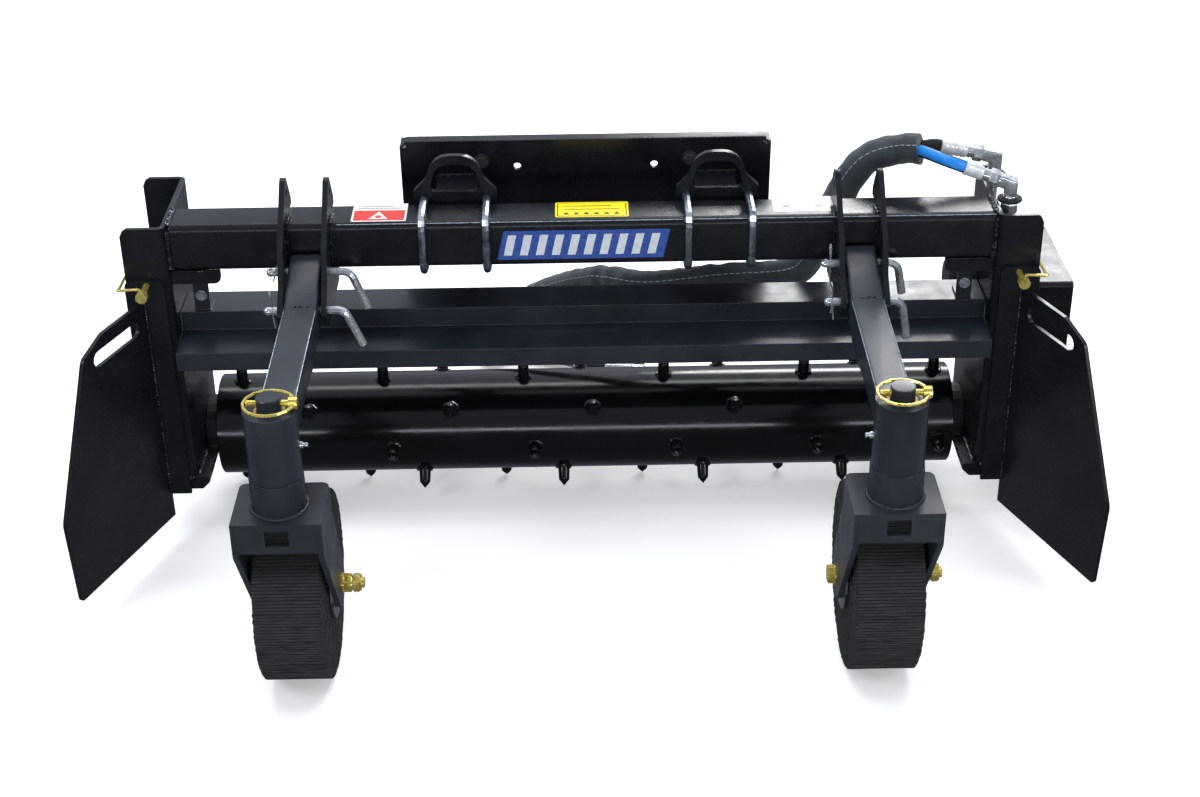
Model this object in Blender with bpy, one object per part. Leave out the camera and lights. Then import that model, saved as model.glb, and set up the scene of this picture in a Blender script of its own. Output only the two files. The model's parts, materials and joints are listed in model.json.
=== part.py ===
"""Hydraulic power rake for a compact carrier: a toothed drum under a box beam.

Metres, +Z up, Z = 0 on the ground. +Y points to the carrier and -Y to the
gauge wheels. The origin is under the middle of the machine. "left" is -X.
"""
import math

import bmesh
import bpy
from mathutils import Matrix, Vector

INCH = 0.0254
GAP = 0.0003

# frame
BEAM = 3.0 * INCH
BEAM_WALL = 0.0064
BEAM_TOP = 0.5534
BEAM_FRONT = 0.115
BEAM_BACK = BEAM_FRONT + BEAM
BEAM_BASE = BEAM_TOP - BEAM
WEB_INSIDE = 0.635
CHANNEL_OUTER = 0.7045
CHANNEL_WALL = 0.008
CHANNEL_FRONT = 0.107
CHANNEL_BACK = 0.310
CHANNEL_BASE = 0.1094

# drum
DRUM_Y = 0.269
DRUM_RADIUS = 6.625 * INCH / 2
DRUM_HALF = 0.612
DRUM_BORE = 0.0766
TOOTH_RADIUS = 0.010
TOOTH_HEIGHT = 0.033
TOOTH_PITCH = 0.235
ROW_ANGLE = math.radians(45.0)
ROW_START = math.radians(-4.0)
ROW_SHIFT = (-0.085, 0.012, -0.103, -0.008, -0.066, -0.198, -0.138, -0.038)
DRUM_Z = (DRUM_RADIUS + TOOTH_HEIGHT) * math.cos(ROW_START)
SHAFT_RADIUS = 0.01905

# gauge arms and casters
ARM_X = 0.424
ARM_HALF = 1.0 * INCH
ARM_WALL = 0.0064
PLATE_THICK = 0.0085
PLATE_OFFSET = 0.033
STEM_Y = -0.335
STEM_RADIUS = 0.0168
STEM_TOP = BEAM_TOP - 0.044
HUB_RADIUS = 0.0365
HUB_TOP = BEAM_TOP - 0.064
HUB_BASE = BEAM_TOP - 0.166
FORK_TOP = BEAM_TOP - 0.216
FORK_HALF = 0.0625
FORK_WALL = 0.008
WHEEL_Y = -0.241
WHEEL_Z = 0.1404
WHEEL_RADIUS = 0.140
WHEEL_HALF = 0.0498
AXLE_RADIUS = 0.0079
PIVOT = (BEAM_FRONT - 0.022, BEAM_TOP - 0.069)
LOCK = (BEAM_FRONT - 0.080, BEAM_TOP - 0.105)
PIN_RADIUS = 0.25 * INCH
PIN_HANDLES = {("left", "upper"): (0.030, (0.023, 0.0, -0.062)),
               ("left", "lower"): (0.024, (0.025, 0.0, -0.060)),
               ("right", "upper"): (0.020, (0.010, 0.0, -0.052)),
               ("right", "lower"): (0.021, (0.011, 0.0, -0.064))}
ARM_SWING = math.radians(10.0)
WIRE_RADIUS = 0.00225
STEM_PIN_Z = BEAM_TOP - 0.054

# drive
MOTOR_Y = 0.258
MOTOR_Z = 0.370
CHAIN_PITCH = 0.015875
DRIVE_TEETH = 11
DRUM_TEETH = 22
SPROCKET_X = 0.728
CASE_INNER = 0.7060

# side shields
FOLD_X = 0.680
FOLD_Y = 0.1033
SHIELD_THICK = 0.00635
FLARE = math.radians(22.5)
SHIELD_PIN_X = 0.672
SHIELD_PIN_Z = BEAM_TOP - 0.092

# carrier hitch
HITCH_X = 0.0068
BRACKET_OFFSET = 0.2035
UBOLT_OFFSET = 0.0487
PLATE_HALF = 0.2945
PLATE_BASE = BEAM_TOP - 0.145
PLATE_TOP = BEAM_TOP + 0.065
PLATE_TILT = math.radians(4.0)
PLATE_Y = 0.2850
BRACKET_Y = 0.1915

# hydraulic lines
HOSE_RADIUS = 0.010
SLEEVE_RADIUS = 0.026
LINE_X = 0.6605
FRONT_ELBOW = Vector((0.6610, 0.1630, 0.5820))
REAR_ELBOW = Vector((0.6550, 0.2600, 0.5870))
FRONT_FERRULE = Vector((0.6040, 0.1710, 0.6013))
REAR_FERRULE = Vector((0.5825, 0.2616, 0.6019))
SLEEVE_KNOTS = ((0.5340, 0.2550, 0.6040), (0.4950, 0.2700, 0.5960), (0.4480, 0.2750, 0.5740),
                (0.4110, 0.2750, 0.5124), (0.3800, 0.2750, 0.4350), (0.3450, 0.2750, 0.3830),
                (0.2240, 0.2750, 0.3724), (0.1090, 0.2850, 0.3564), (0.0200, 0.3500, 0.3350),
                (-0.0900, 0.4500, 0.2500), (-0.1700, 0.5500, 0.1200), (-0.1850, 0.6400, 0.0420),
                (-0.1350, 0.6980, 0.0275), (-0.0200, 0.6580, 0.0275))
COUPLER_SPOTS = ((0.0400, 0.6650, 0.0150), (0.0400, 0.6250, 0.0150))
COUPLER_RUN = Vector((0.0900, -0.0180, 0.0))
MOUTH_RUN = 0.024


def clear_scene():
    for old in list(bpy.data.objects):
        bpy.data.objects.remove(old)


def make_material(name, colour, roughness, metallic=0.0):
    material = bpy.data.materials.new(name)
    material.use_nodes = True
    shader = material.node_tree.nodes["Principled BSDF"]
    shader.inputs["Base Color"].default_value = (*colour, 1.0)
    shader.inputs["Roughness"].default_value = roughness
    shader.inputs["Metallic"].default_value = metallic
    return material


def finish_object(name, mesh_data, material, pivot=(0, 0, 0)):
    """Turn a bmesh in world space into an object whose origin is the pivot."""
    bmesh.ops.recalc_face_normals(mesh_data, faces=mesh_data.faces)
    bmesh.ops.translate(mesh_data, vec=-Vector(pivot), verts=mesh_data.verts)
    mesh = bpy.data.meshes.new(name)
    mesh_data.to_mesh(mesh)
    mesh_data.free()
    mesh.shade_smooth()
    mesh.set_sharp_from_angle(angle=math.radians(35))
    mesh.materials.append(material)
    piece = bpy.data.objects.new(name, mesh)
    piece.location = pivot
    bpy.context.collection.objects.link(piece)
    return piece


def place(axis, first, second, along):
    """World point from the two in-plane numbers and the one along the axis."""
    if axis == "X":
        return Vector((along, first, second))
    if axis == "Y":
        return Vector((first, along, second))
    return Vector((first, second, along))


def fillet(corners, steps=3):
    """Outline from corners (a, b) or (a, b, radius), with round corners as arcs."""
    outline = []
    count = len(corners)
    for index, corner in enumerate(corners):
        here = Vector(corner[:2])
        if len(corner) == 2:
            outline.append(here)
            continue
        before = (Vector(corners[index - 1][:2]) - here).normalized()
        after = (Vector(corners[(index + 1) % count][:2]) - here).normalized()
        half = math.acos(max(-1.0, min(1.0, before.dot(after)))) / 2
        reach = corner[2] / math.tan(half)
        centre = here + (before + after).normalized() * (corner[2] / math.sin(half))
        start = here + before * reach - centre
        end = here + after * reach - centre
        turn = start.angle_signed(end)
        for step in range(steps + 1):
            angle = -turn * step / steps
            arm = Matrix.Rotation(angle, 2) @ start
            outline.append(centre + arm)
    return outline


def circle(centre, radius, sides, start=0.0):
    return [Vector((centre[0] + radius * math.cos(start + math.tau * i / sides),
                    centre[1] + radius * math.sin(start + math.tau * i / sides)))
            for i in range(sides)]


def slab(name, outline, origin, first, second, low, high, material, pivot=(0, 0, 0)):
    """Extrude an (a, b) outline lying on two directions, from low to high along their normal."""
    first = Vector(first)
    second = Vector(second)
    normal = first.cross(second)
    data = bmesh.new()
    rings = []
    for offset in (low, high):
        start = Vector(origin) + normal * offset
        rings.append([data.verts.new(start + first * a + second * b) for a, b in outline])
    data.faces.new(rings[0])
    data.faces.new(rings[1])
    for i in range(len(outline)):
        j = (i + 1) % len(outline)
        data.faces.new((rings[0][i], rings[0][j], rings[1][j], rings[1][i]))
    return finish_object(name, data, material, pivot)


def prism(name, outline, axis, low, high, material, pivot=(0, 0, 0)):
    """Extrude an outline along X (outline y, z), Y (outline x, z) or Z (outline x, y)."""
    low, high = min(low, high), max(low, high)
    if axis == "X":
        return slab(name, outline, (0, 0, 0), (0, 1, 0), (0, 0, 1), low, high, material, pivot)
    if axis == "Y":
        return slab(name, outline, (0, 0, 0), (1, 0, 0), (0, 0, 1), -high, -low, material, pivot)
    return slab(name, outline, (0, 0, 0), (1, 0, 0), (0, 1, 0), low, high, material, pivot)


def block(name, low, high, material):
    outline = [(low[0], low[1]), (high[0], low[1]), (high[0], high[1]), (low[0], high[1])]
    return prism(name, outline, "Z", low[2], high[2], material)


def skin(name, rings, material, pivot=(0, 0, 0), closed=False):
    """Skin rings of points in order; a ring of one point is a tip."""
    data = bmesh.new()
    loops = [[data.verts.new(point) for point in ring] for ring in rings]
    pairs = list(zip(loops, loops[1:]))
    if closed:
        pairs.append((loops[-1], loops[0]))
    else:
        for end in (loops[0], loops[-1]):
            if len(end) > 2:
                data.faces.new(end)
    sides = max(len(ring) for ring in rings)
    for one, two in pairs:
        for i in range(sides):
            j = (i + 1) % sides
            corners = [one[i % len(one)], one[j % len(one)], two[j % len(two)], two[i % len(two)]]
            data.faces.new(list(dict.fromkeys(corners)))
    return finish_object(name, data, material, pivot)


def lathe(name, profile, axis, centre, sides, material, closed=False):
    """Turn (radius, distance) points about an X, Y or Z axis through the centre."""
    centre = Vector(centre)
    rings = []
    for radius, along in profile:
        if radius == 0:
            rings.append([centre + place(axis, 0, 0, along)])
        else:
            rings.append([centre + place(axis, a, b, along) for a, b in circle((0, 0), radius, sides)])
    return skin(name, rings, material, centre, closed)


def sweep(name, path, radii, sides, material, pivot=(0, 0, 0), closed=False):
    """Round rod along a path; radii is one radius or one per point."""
    points = [Vector(point) for point in path]
    count = len(points)
    if not isinstance(radii, (list, tuple)):
        radii = [radii] * count
    rings = []
    side = None
    for i, point in enumerate(points):
        before = points[i - 1] if (i or closed) else point
        after = points[(i + 1) % count] if (i < count - 1 or closed) else point
        normal = (after - point).normalized() + (point - before).normalized()
        normal.normalize()
        if side is None:
            guess = Vector((0, 0, 1)) if abs(normal.z) < 0.9 else Vector((1, 0, 0))
            side = guess.cross(normal)
        side = (side - normal * side.dot(normal)).normalized()
        other = normal.cross(side)
        rings.append([point + (side * a + other * b) * radii[i]
                      for a, b in circle((0, 0), 1.0, sides)])
    return skin(name, rings, material, pivot, closed)


def free_hose(name, path, radius, resolution, material):
    """Flexible line as a curve: a POLY spline with a round bevel."""
    curve = bpy.data.curves.new(name, "CURVE")
    curve.dimensions = "3D"
    curve.bevel_depth = radius
    curve.bevel_resolution = resolution
    curve.use_fill_caps = True
    spline = curve.splines.new("POLY")
    spline.points.add(len(path) - 1)
    for slot, point in zip(spline.points, path):
        slot.co = (*point, 1.0)
    curve.materials.append(material)
    piece = bpy.data.objects.new(name, curve)
    bpy.context.collection.objects.link(piece)
    return piece


def smooth_route(knots, count):
    """Evenly spaced points on a Catmull-Rom curve through the knots."""
    knots = [Vector(knot) for knot in knots]
    padded = [2 * knots[0] - knots[1]] + knots + [2 * knots[-1] - knots[-2]]
    fine = []
    for a, b, c, d in zip(padded, padded[1:], padded[2:], padded[3:]):
        for step in range(24):
            t = step / 24
            fine.append(0.5 * (2 * b + (c - a) * t + (2 * a - 5 * b + 4 * c - d) * t * t
                               + (3 * b - a - 3 * c + d) * t ** 3))
    fine.append(knots[-1])
    lengths = [0.0]
    for one, two in zip(fine, fine[1:]):
        lengths.append(lengths[-1] + (two - one).length)
    route = []
    index = 0
    for step in range(count):
        target = lengths[-1] * step / (count - 1)
        while index < len(fine) - 2 and lengths[index + 1] < target:
            index += 1
        span = lengths[index + 1] - lengths[index]
        route.append(fine[index].lerp(fine[index + 1], (target - lengths[index]) / span))
    return route


def bend_path(corners, radius, steps=4):
    """Path through corner points with each inner corner as an arc."""
    corners = [Vector(corner) for corner in corners]
    path = [corners[0]]
    for before, here, after in zip(corners, corners[1:], corners[2:]):
        back = (before - here).normalized()
        ahead = (after - here).normalized()
        half = back.angle(ahead) / 2
        reach = radius / math.tan(half)
        centre = here + (back + ahead).normalized() * (radius / math.sin(half))
        start = here + back * reach - centre
        end = here + ahead * reach - centre
        path += [centre + start.slerp(end, step / steps) * radius for step in range(steps + 1)]
    path.append(corners[-1])
    return path


def combine(target, tool, operation):
    modifier = target.modifiers.new(tool.name, "BOOLEAN")
    modifier.operation = operation
    modifier.object = tool
    modifier.solver = "EXACT"
    tool.hide_render = True
    tool.display_type = "WIRE"


def drill(target, axis, spots, radius, low, high, sides=12):
    """Round holes through the target; spots are in-plane centres."""
    for number, spot in enumerate(spots):
        name = f"cut_{target.name}_{len(target.modifiers)}_{number}"
        tool = prism(name, circle(spot, radius, sides), axis, low, high, target.data.materials[0])
        combine(target, tool, "DIFFERENCE")


def hexagon(centre, radius):
    return circle(centre, radius, 6, math.radians(30))


# ---------------------------------------------------------------- frame

def build_beam(paint):
    middle = (BEAM_FRONT + BEAM / 2, BEAM_TOP - BEAM / 2)
    rings = []
    for half, radius, ends in ((BEAM / 2, 0.011, (-1, 1)), (BEAM / 2 - BEAM_WALL, 0.005, (1, -1))):
        corners = [(middle[0] + a * half, middle[1] + b * half, radius)
                   for a, b in ((-1, -1), (1, -1), (1, 1), (-1, 1))]
        outline = fillet(corners)
        for end in ends:
            rings.append([Vector((end * (WEB_INSIDE - GAP), a, b)) for a, b in outline])
    skin("main_beam", rings, paint, closed=True)


def build_channel(side, label, paint):
    """C-section end frame opening outward, with a short foot and a bearing lobe."""
    web = side * WEB_INSIDE
    face = side * (WEB_INSIDE + CHANNEL_WALL)
    edge = side * CHANNEL_OUTER
    back_edge = edge if side < 0 else side * 0.662
    front = CHANNEL_FRONT
    outline = fillet([(web, front, 0.012), (edge, front), (edge, front + CHANNEL_WALL),
                      (face, front + CHANNEL_WALL, 0.005), (face, CHANNEL_BACK - CHANNEL_WALL),
                      (back_edge, CHANNEL_BACK - CHANNEL_WALL), (back_edge, CHANNEL_BACK),
                      (web, CHANNEL_BACK, 0.012)])
    channel = prism(f"end_channel_{label}", outline, "Z", CHANNEL_BASE, BEAM_TOP, paint)
    lobe = fillet([(DRUM_Y - 0.060, CHANNEL_BASE + 0.05), (DRUM_Y - 0.060, DRUM_Z - 0.058, 0.045),
                   (DRUM_Y + 0.060, DRUM_Z - 0.058, 0.045), (DRUM_Y + 0.060, CHANNEL_BASE + 0.12),
                   (DRUM_Y + 0.0405, CHANNEL_BASE + 0.14)], 5)
    combine(channel, prism(f"lobe_{label}", lobe, "X", web, face, paint), "UNION")
    toe = side * 0.615
    foot = [(side * 0.690, CHANNEL_BASE + 0.0008), (toe, CHANNEL_BASE + 0.0008),
            (toe, CHANNEL_BASE - 0.010), (toe + side * 0.012, CHANNEL_BASE - 0.022),
            (side * 0.690, CHANNEL_BASE - 0.022)]
    combine(channel, prism(f"foot_{label}", foot, "Y", front + 0.001, 0.200, paint), "UNION")
    tab = fillet([(side * 0.6355, BEAM_BASE - GAP), (side * 0.560, BEAM_BASE - GAP),
                  (side * 0.560, BEAM_BASE - 0.022, 0.010), (side * 0.6355, BEAM_BASE - 0.022)])
    combine(channel, prism(f"tab_{label}", tab, "Y", 0.1175, 0.1245, paint), "UNION")
    corner = [(side * 0.712, BEAM_TOP + 0.01), (side * 0.692, BEAM_TOP + 0.01),
              (side * 0.692, BEAM_TOP + 0.001), (side * 0.7005, BEAM_TOP - 0.004),
              (side * 0.705, BEAM_TOP - 0.013), (side * 0.712, BEAM_TOP - 0.013)]
    combine(channel, prism(f"corner_{label}", corner, "Y", 0.05, 0.35, paint), "DIFFERENCE")
    drill(channel, "Y", [(side * SHIELD_PIN_X, SHIELD_PIN_Z)], 0.0053, 0.09, 0.13)
    drill(channel, "X", [(DRUM_Y, DRUM_Z)], 0.0308, web - 0.02, web + 0.02, 20)
    if side > 0:
        drill(channel, "X", [(MOTOR_Y, MOTOR_Z)], 0.0425, 0.62, 0.66, 24)


def build_hood(paint):
    """Stepped deflector in front of the drum, hung from the beam by two brackets."""
    top = BEAM_TOP - 0.160
    tread = BEAM_TOP - 0.192
    line = [(0.215, top), (0.144, top), (0.144, tread), (0.070, tread - 0.003),
            (0.070, BEAM_TOP - 0.226), (0.073, BEAM_TOP - 0.226), (0.073, tread - 0.006),
            (0.147, tread - 0.003), (0.147, top - 0.003), (0.215, top - 0.003)]
    hood = prism("hood", line, "X", -0.6343, 0.6343, paint)
    for side in (-1, 1):
        low = side * 0.588
        high = side * 0.612
        bracket = [(0.150, top - 0.001), (0.185, top - 0.001), (0.185, top + 0.004),
                   (0.155, top + 0.004), (0.155, BEAM_BASE - GAP), (0.150, BEAM_BASE - GAP)]
        combine(hood, prism(f"hanger_{side}", bracket, "X", low, high, paint), "UNION")


# ---------------------------------------------------------------- gauge arms

def build_arm_plates(side, label, paint):
    """Two notched cheek plates that straddle one gauge arm."""
    front = BEAM_FRONT
    top = BEAM_TOP
    corners = [(front + 0.046, top + 0.066, 0.014), (front - 0.047, top - 0.022, 0.02),
               (front - 0.070, top - 0.070, 0.02), (front - 0.106, top - 0.100, 0.014),
               (front - 0.098, top - 0.128, 0.012), (front + 0.074, top - 0.128, 0.012),
               (front + 0.088, top - 0.100), (front + 0.088, BEAM_BASE - GAP),
               (front - GAP, BEAM_BASE - GAP), (front - GAP, top + GAP),
               (front + 0.082, top + GAP), (front + 0.082, top + 0.012)]
    outline = fillet(corners)
    for where, shift in (("outer", 1), ("inner", -1)):
        middle = side * (ARM_X + shift * PLATE_OFFSET)
        low = middle - PLATE_THICK / 2
        high = middle + PLATE_THICK / 2
        plate = prism(f"arm_plate_{label}_{where}", outline, "X", low, high, paint)
        drill(plate, "X", (PIVOT, LOCK), PIN_RADIUS + GAP, low - 0.01, high + 0.01)
        drill(plate, "X", [(front + 0.042, top + 0.036)], 0.006, low - 0.01, high + 0.01, 10)


def build_hitch_pin(label, where, centre, start, finish, fall, zinc):
    """Bent pin along X through the cheek plates, handle hanging on the +X side."""
    y, z = centre
    turn = Vector((finish, y, z))
    path = bend_path([(start, y, z), turn, turn + Vector(fall)], 0.017, 5)
    sweep(f"hitch_pin_{label}_{where}", path, PIN_RADIUS, 8, zinc, (start, y, z))


def arm_rings(side, half, radius):
    """Square sections of the bent arm at its rear end, knee and hub."""
    slope = math.radians(19.3)
    stations = ((BEAM_FRONT - 0.008, BEAM_TOP - 0.0730, 0.0, 1 / math.cos(slope)),
                (BEAM_FRONT - 0.1095, BEAM_TOP - 0.1085, slope / 2, 1 / math.cos(slope / 2)),
                (STEM_Y + 0.0235, BEAM_TOP - 0.1150, 0.0, 1.0))
    section = fillet([(-half, -half, radius), (half, -half, radius),
                      (half, half, radius), (-half, half, radius)], 2)
    rings = []
    for y, z, lean, stretch in stations:
        rings.append([Vector((side * ARM_X + a, y - b * stretch * math.sin(lean),
                              z + b * stretch * math.cos(lean))) for a, b in section])
    return rings


def lock_slot(radius):
    """Curved slot in the arm that clears the lower pin over the whole swing."""
    reach = Vector(LOCK) - Vector(PIVOT)
    spare = math.asin(radius / reach.length) * 1.05
    outline = []
    for scale, order in ((reach.length + radius, range(7)), (reach.length - radius, range(6, -1, -1))):
        for step in order:
            angle = spare - (ARM_SWING + 2 * spare) * step / 6
            outline.append(Vector(PIVOT) + Matrix.Rotation(angle, 2) @ (reach.normalized() * scale))
    return outline


def build_gauge_arm(side, label, paint, bronze):
    """Bent square tube from the pivot pin to the swivel hub, with a curved gusset."""
    pivot = (side * ARM_X, *PIVOT)
    rings = arm_rings(side, ARM_HALF, 0.006) + arm_rings(side, ARM_HALF - ARM_WALL, 0.002)[::-1]
    arm = skin(f"gauge_arm_{label}", rings, paint, pivot, closed=True)
    hub = [(HUB_RADIUS, HUB_BASE + 0.0006), (HUB_RADIUS, HUB_TOP), (0.0222, HUB_TOP),
           (0.0222, HUB_BASE + 0.0006)]
    combine(arm, lathe(f"hub_{label}", hub, "Z", (side * ARM_X, STEM_Y, 0), 24, paint, True), "UNION")
    quadrant = fillet([(0.012, 0.462), (-0.125, 0.428), (-0.118, 0.408, 0.012), (-0.030, 0.398, 0.03),
                       (0.014, 0.412, 0.012)])
    inner = side * (ARM_X - ARM_HALF)
    tool = prism(f"quadrant_{label}", quadrant, "X", inner + 0.004 * side, inner + 0.0115 * side, paint)
    combine(arm, tool, "UNION")
    drill(arm, "X", [PIVOT], PIN_RADIUS + GAP, side * ARM_X - 0.04, side * ARM_X + 0.04)
    slot = prism(f"slot_{label}", lock_slot(PIN_RADIUS + 0.0008), "X", side * ARM_X - 0.04,
                 side * ARM_X + 0.04, paint)
    combine(arm, slot, "DIFFERENCE")
    sleeve = [(0.0219, HUB_BASE + 0.0010), (0.0219, HUB_TOP - 0.001), (0.0175, HUB_TOP - 0.001),
              (0.0175, HUB_BASE + 0.0010)]
    lathe(f"stem_bushing_{label}", sleeve, "Z", (side * ARM_X, STEM_Y, 0), 18, bronze, True)


# ---------------------------------------------------------------- casters

def build_fork(side, label, paint):
    """Trailing fork with the swivel stem, lower hub, slotted front plate and side plates."""
    x = side * ARM_X
    stem = [(0, FORK_TOP - 0.004), (0.0379, FORK_TOP - 0.004), (0.0379, HUB_BASE),
            (STEM_RADIUS, HUB_BASE), (STEM_RADIUS, STEM_TOP - 0.0015), (STEM_RADIUS - 0.0015, STEM_TOP),
            (0, STEM_TOP)]
    fork = lathe(f"caster_fork_{label}", stem, "Z", (x, STEM_Y, 0), 24, paint)
    deck = fillet([(x - FORK_HALF, -0.385), (x + FORK_HALF, -0.385),
                   (x + FORK_HALF, -0.277, 0.01), (x - FORK_HALF, -0.277, 0.01)])
    combine(fork, prism(f"deck_{label}", deck, "Z", FORK_TOP - 0.008, FORK_TOP, paint), "UNION")
    cheek = fillet([(-0.385, FORK_TOP - 0.007), (-0.385, FORK_TOP - 0.053),
                    (WHEEL_Y - 0.030, WHEEL_Z - 0.026, 0.024), (WHEEL_Y + 0.030, WHEEL_Z - 0.026, 0.024),
                    (WHEEL_Y + 0.022, WHEEL_Z + 0.030), (-0.279, FORK_TOP - 0.045),
                    (-0.279, FORK_TOP - 0.007)], 4)
    for hand in (-1, 1):
        wall = x + hand * FORK_HALF
        tool = prism(f"cheek_{label}_{hand}", cheek, "X", wall - hand * FORK_WALL, wall, paint)
        combine(fork, tool, "UNION")
    front = block(f"front_{label}", (x - FORK_HALF + 0.004, -0.3848, FORK_TOP - 0.048),
                  (x + FORK_HALF - 0.004, -0.377, FORK_TOP - 0.004), paint)
    combine(fork, front, "UNION")
    window = block(f"window_{label}", (x - 0.0165, -0.40, FORK_TOP - 0.035),
                   (x + 0.0165, -0.36, FORK_TOP - 0.010), paint)
    combine(fork, window, "DIFFERENCE")
    drill(fork, "X", [(WHEEL_Y, WHEEL_Z)], AXLE_RADIUS + GAP, x - 0.08, x + 0.08)
    drill(fork, "X", [(STEM_Y, STEM_PIN_Z)], 0.0048, x - 0.05, x + 0.05)


def build_wheel(side, label, rubber, steel, yellow):
    centre = (side * ARM_X, WHEEL_Y, WHEEL_Z)
    half = WHEEL_HALF
    tread = WHEEL_RADIUS
    tyre = [(0.0243, -half), (tread - 0.004, -half), (tread, -half + 0.005), (tread, half - 0.005),
            (tread - 0.004, half), (0.0243, half)]
    lathe(f"tyre_{label}", tyre, "X", centre, 36, rubber, True)
    rim = [(0.0083, -0.0536), (0.052, -0.0536), (0.052, -0.0501), (0.0240, -0.0501),
           (0.0240, 0.0501), (0.052, 0.0501), (0.052, 0.0536), (0.0083, 0.0536)]
    lathe(f"rim_{label}", rim, "X", centre, 16, steel, True)
    x = side * ARM_X
    shaft = [(0, -0.0650), (AXLE_RADIUS, -0.0650), (AXLE_RADIUS, 0.0950), (0, 0.0950)]
    axle = lathe(f"axle_bolt_{label}", shaft, "X", centre, 12, yellow)
    head = prism(f"head_{label}", hexagon((WHEEL_Y, WHEEL_Z), 0.0137), "X", x - 0.0735, x - 0.0628, yellow)
    combine(axle, head, "UNION")
    for number, (low, high) in enumerate(((0.0628, 0.0765), (0.0790, 0.0900))):
        nut = prism(f"nut_{label}_{number}", hexagon((WHEEL_Y, WHEEL_Z), 0.0137), "X", x + low, x + high, yellow)
        combine(axle, nut, "UNION")


def build_stem_lock(side, label, yellow):
    """Wire-lock pin through the stem, with its ring lying round the stem."""
    centre = (side * ARM_X, STEM_Y, STEM_PIN_Z)
    shaft = [(0, -0.0305), (0.0035, -0.0305), (0.0045, -0.0285), (0.0045, 0.0270), (0.0085, 0.0270),
             (0.0085, 0.0385), (0, 0.0385)]
    pin = lathe(f"stem_pin_{label}", shaft, "X", centre, 12, yellow)
    x = side * ARM_X + 0.033
    tool = prism(f"eye_{label}", circle((x, STEM_PIN_Z), WIRE_RADIUS + 0.0004, 8), "Y",
                 STEM_Y - 0.02, STEM_Y + 0.02, yellow)
    combine(pin, tool, "DIFFERENCE")
    start = math.asin(0.011 / 0.0348)
    path = []
    for step in range(15):
        angle = start + (math.tau - 2 * start) * step / 14
        path.append((side * ARM_X + 0.0348 * math.cos(angle), STEM_Y + 0.0348 * math.sin(angle), STEM_PIN_Z))
    sweep(f"stem_bail_{label}", path, WIRE_RADIUS, 6, yellow, (x, STEM_Y, STEM_PIN_Z), True)


# ---------------------------------------------------------------- drum and drive

def build_drum(paint, steel):
    half = DRUM_HALF
    profile = [(DRUM_RADIUS, -half), (DRUM_RADIUS, half), (DRUM_BORE, half), (DRUM_BORE, half - 0.018),
               (0.0194, half - 0.018), (0.0194, half - 0.028), (DRUM_BORE, half - 0.028),
               (DRUM_BORE, 0.028 - half), (0.0194, 0.028 - half), (0.0194, 0.018 - half),
               (DRUM_BORE, 0.018 - half), (DRUM_BORE, -half)]
    drum = lathe("drum", profile, "X", (0, DRUM_Y, DRUM_Z), 30, paint, True)
    teeth = bmesh.new()
    for row, shift in enumerate(ROW_SHIFT):
        angle = ROW_START + ROW_ANGLE * row
        outward = Vector((0, -math.cos(angle), math.sin(angle)))
        turn = outward.to_track_quat("Z", "X").to_matrix().to_4x4()
        for step in range(-3, 4):
            x = shift + step * TOOTH_PITCH
            if abs(x) > 0.64:
                continue
            x = max(-0.585, min(0.585, x))
            spot = Vector((x, DRUM_Y, DRUM_Z)) + outward * (DRUM_RADIUS - 0.004)
            add_tooth(teeth, Matrix.Translation(spot) @ turn)
    tool = finish_object("teeth", teeth, paint)
    combine(drum, tool, "UNION")
    shaft = [(0, -0.668), (SHAFT_RADIUS, -0.668), (SHAFT_RADIUS, 0.7360), (0, 0.7360)]
    lathe("drum_shaft", shaft, "X", (0, DRUM_Y, DRUM_Z), 20, steel)


def add_tooth(data, matrix):
    """Round spike with a conical tip, rooted 4 mm inside the drum's skin."""
    rings = []
    for radius, height in ((TOOTH_RADIUS, 0.0), (TOOTH_RADIUS, 0.027)):
        rings.append([data.verts.new(matrix @ Vector((a, b, height)))
                      for a, b in circle((0, 0), radius, 8)])
    tip = data.verts.new(matrix @ Vector((0, 0, 0.004 + TOOTH_HEIGHT)))
    data.faces.new(rings[0][::-1])
    for one, two in zip(rings, rings[1:]):
        for i in range(8):
            j = (i + 1) % 8
            data.faces.new((one[i], one[j], two[j], two[i]))
    for i in range(8):
        data.faces.new((rings[-1][i], rings[-1][(i + 1) % 8], tip))


def build_bearing(side, label, iron):
    housing = [(0.0194, 0.6160), (0.050, 0.6160), (0.050, 0.6346), (0.0300, 0.6346), (0.0300, 0.6434),
               (0.0325, 0.6434), (0.0325, 0.6560), (0.028, 0.6600), (0.0194, 0.6600)]
    profile = [(radius, side * along) for radius, along in housing]
    lathe(f"bearing_{label}", profile, "X", (0, DRUM_Y, DRUM_Z), 20, iron, True)


def sprocket_radius(teeth):
    return CHAIN_PITCH / (2 * math.sin(math.pi / teeth))


def build_sprocket(name, teeth, centre, bore, steel):
    """Sprocket plate with trapezoid teeth, and a hub on its inboard side."""
    pitch_radius = sprocket_radius(teeth)
    outline = []
    for tooth in range(teeth):
        for share, radius in ((-0.30, -0.0042), (-0.13, 0.0022), (0.13, 0.0022), (0.30, -0.0042)):
            angle = math.tau * (tooth + share) / teeth
            outline.append((centre[0] + (pitch_radius + radius) * math.cos(angle),
                            centre[1] + (pitch_radius + radius) * math.sin(angle)))
    plate = prism(name, outline, "X", SPROCKET_X - 0.004, SPROCKET_X + 0.004, steel, (SPROCKET_X, *centre))
    hub = prism(f"hub_{name}", circle(centre, bore + 0.0045, 16), "X", SPROCKET_X - 0.0130,
                SPROCKET_X - 0.003, steel)
    combine(plate, hub, "UNION")
    if bore > 0.0100:
        drill(plate, "X", [centre], bore, SPROCKET_X - 0.03, SPROCKET_X + 0.03, 20)


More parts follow.
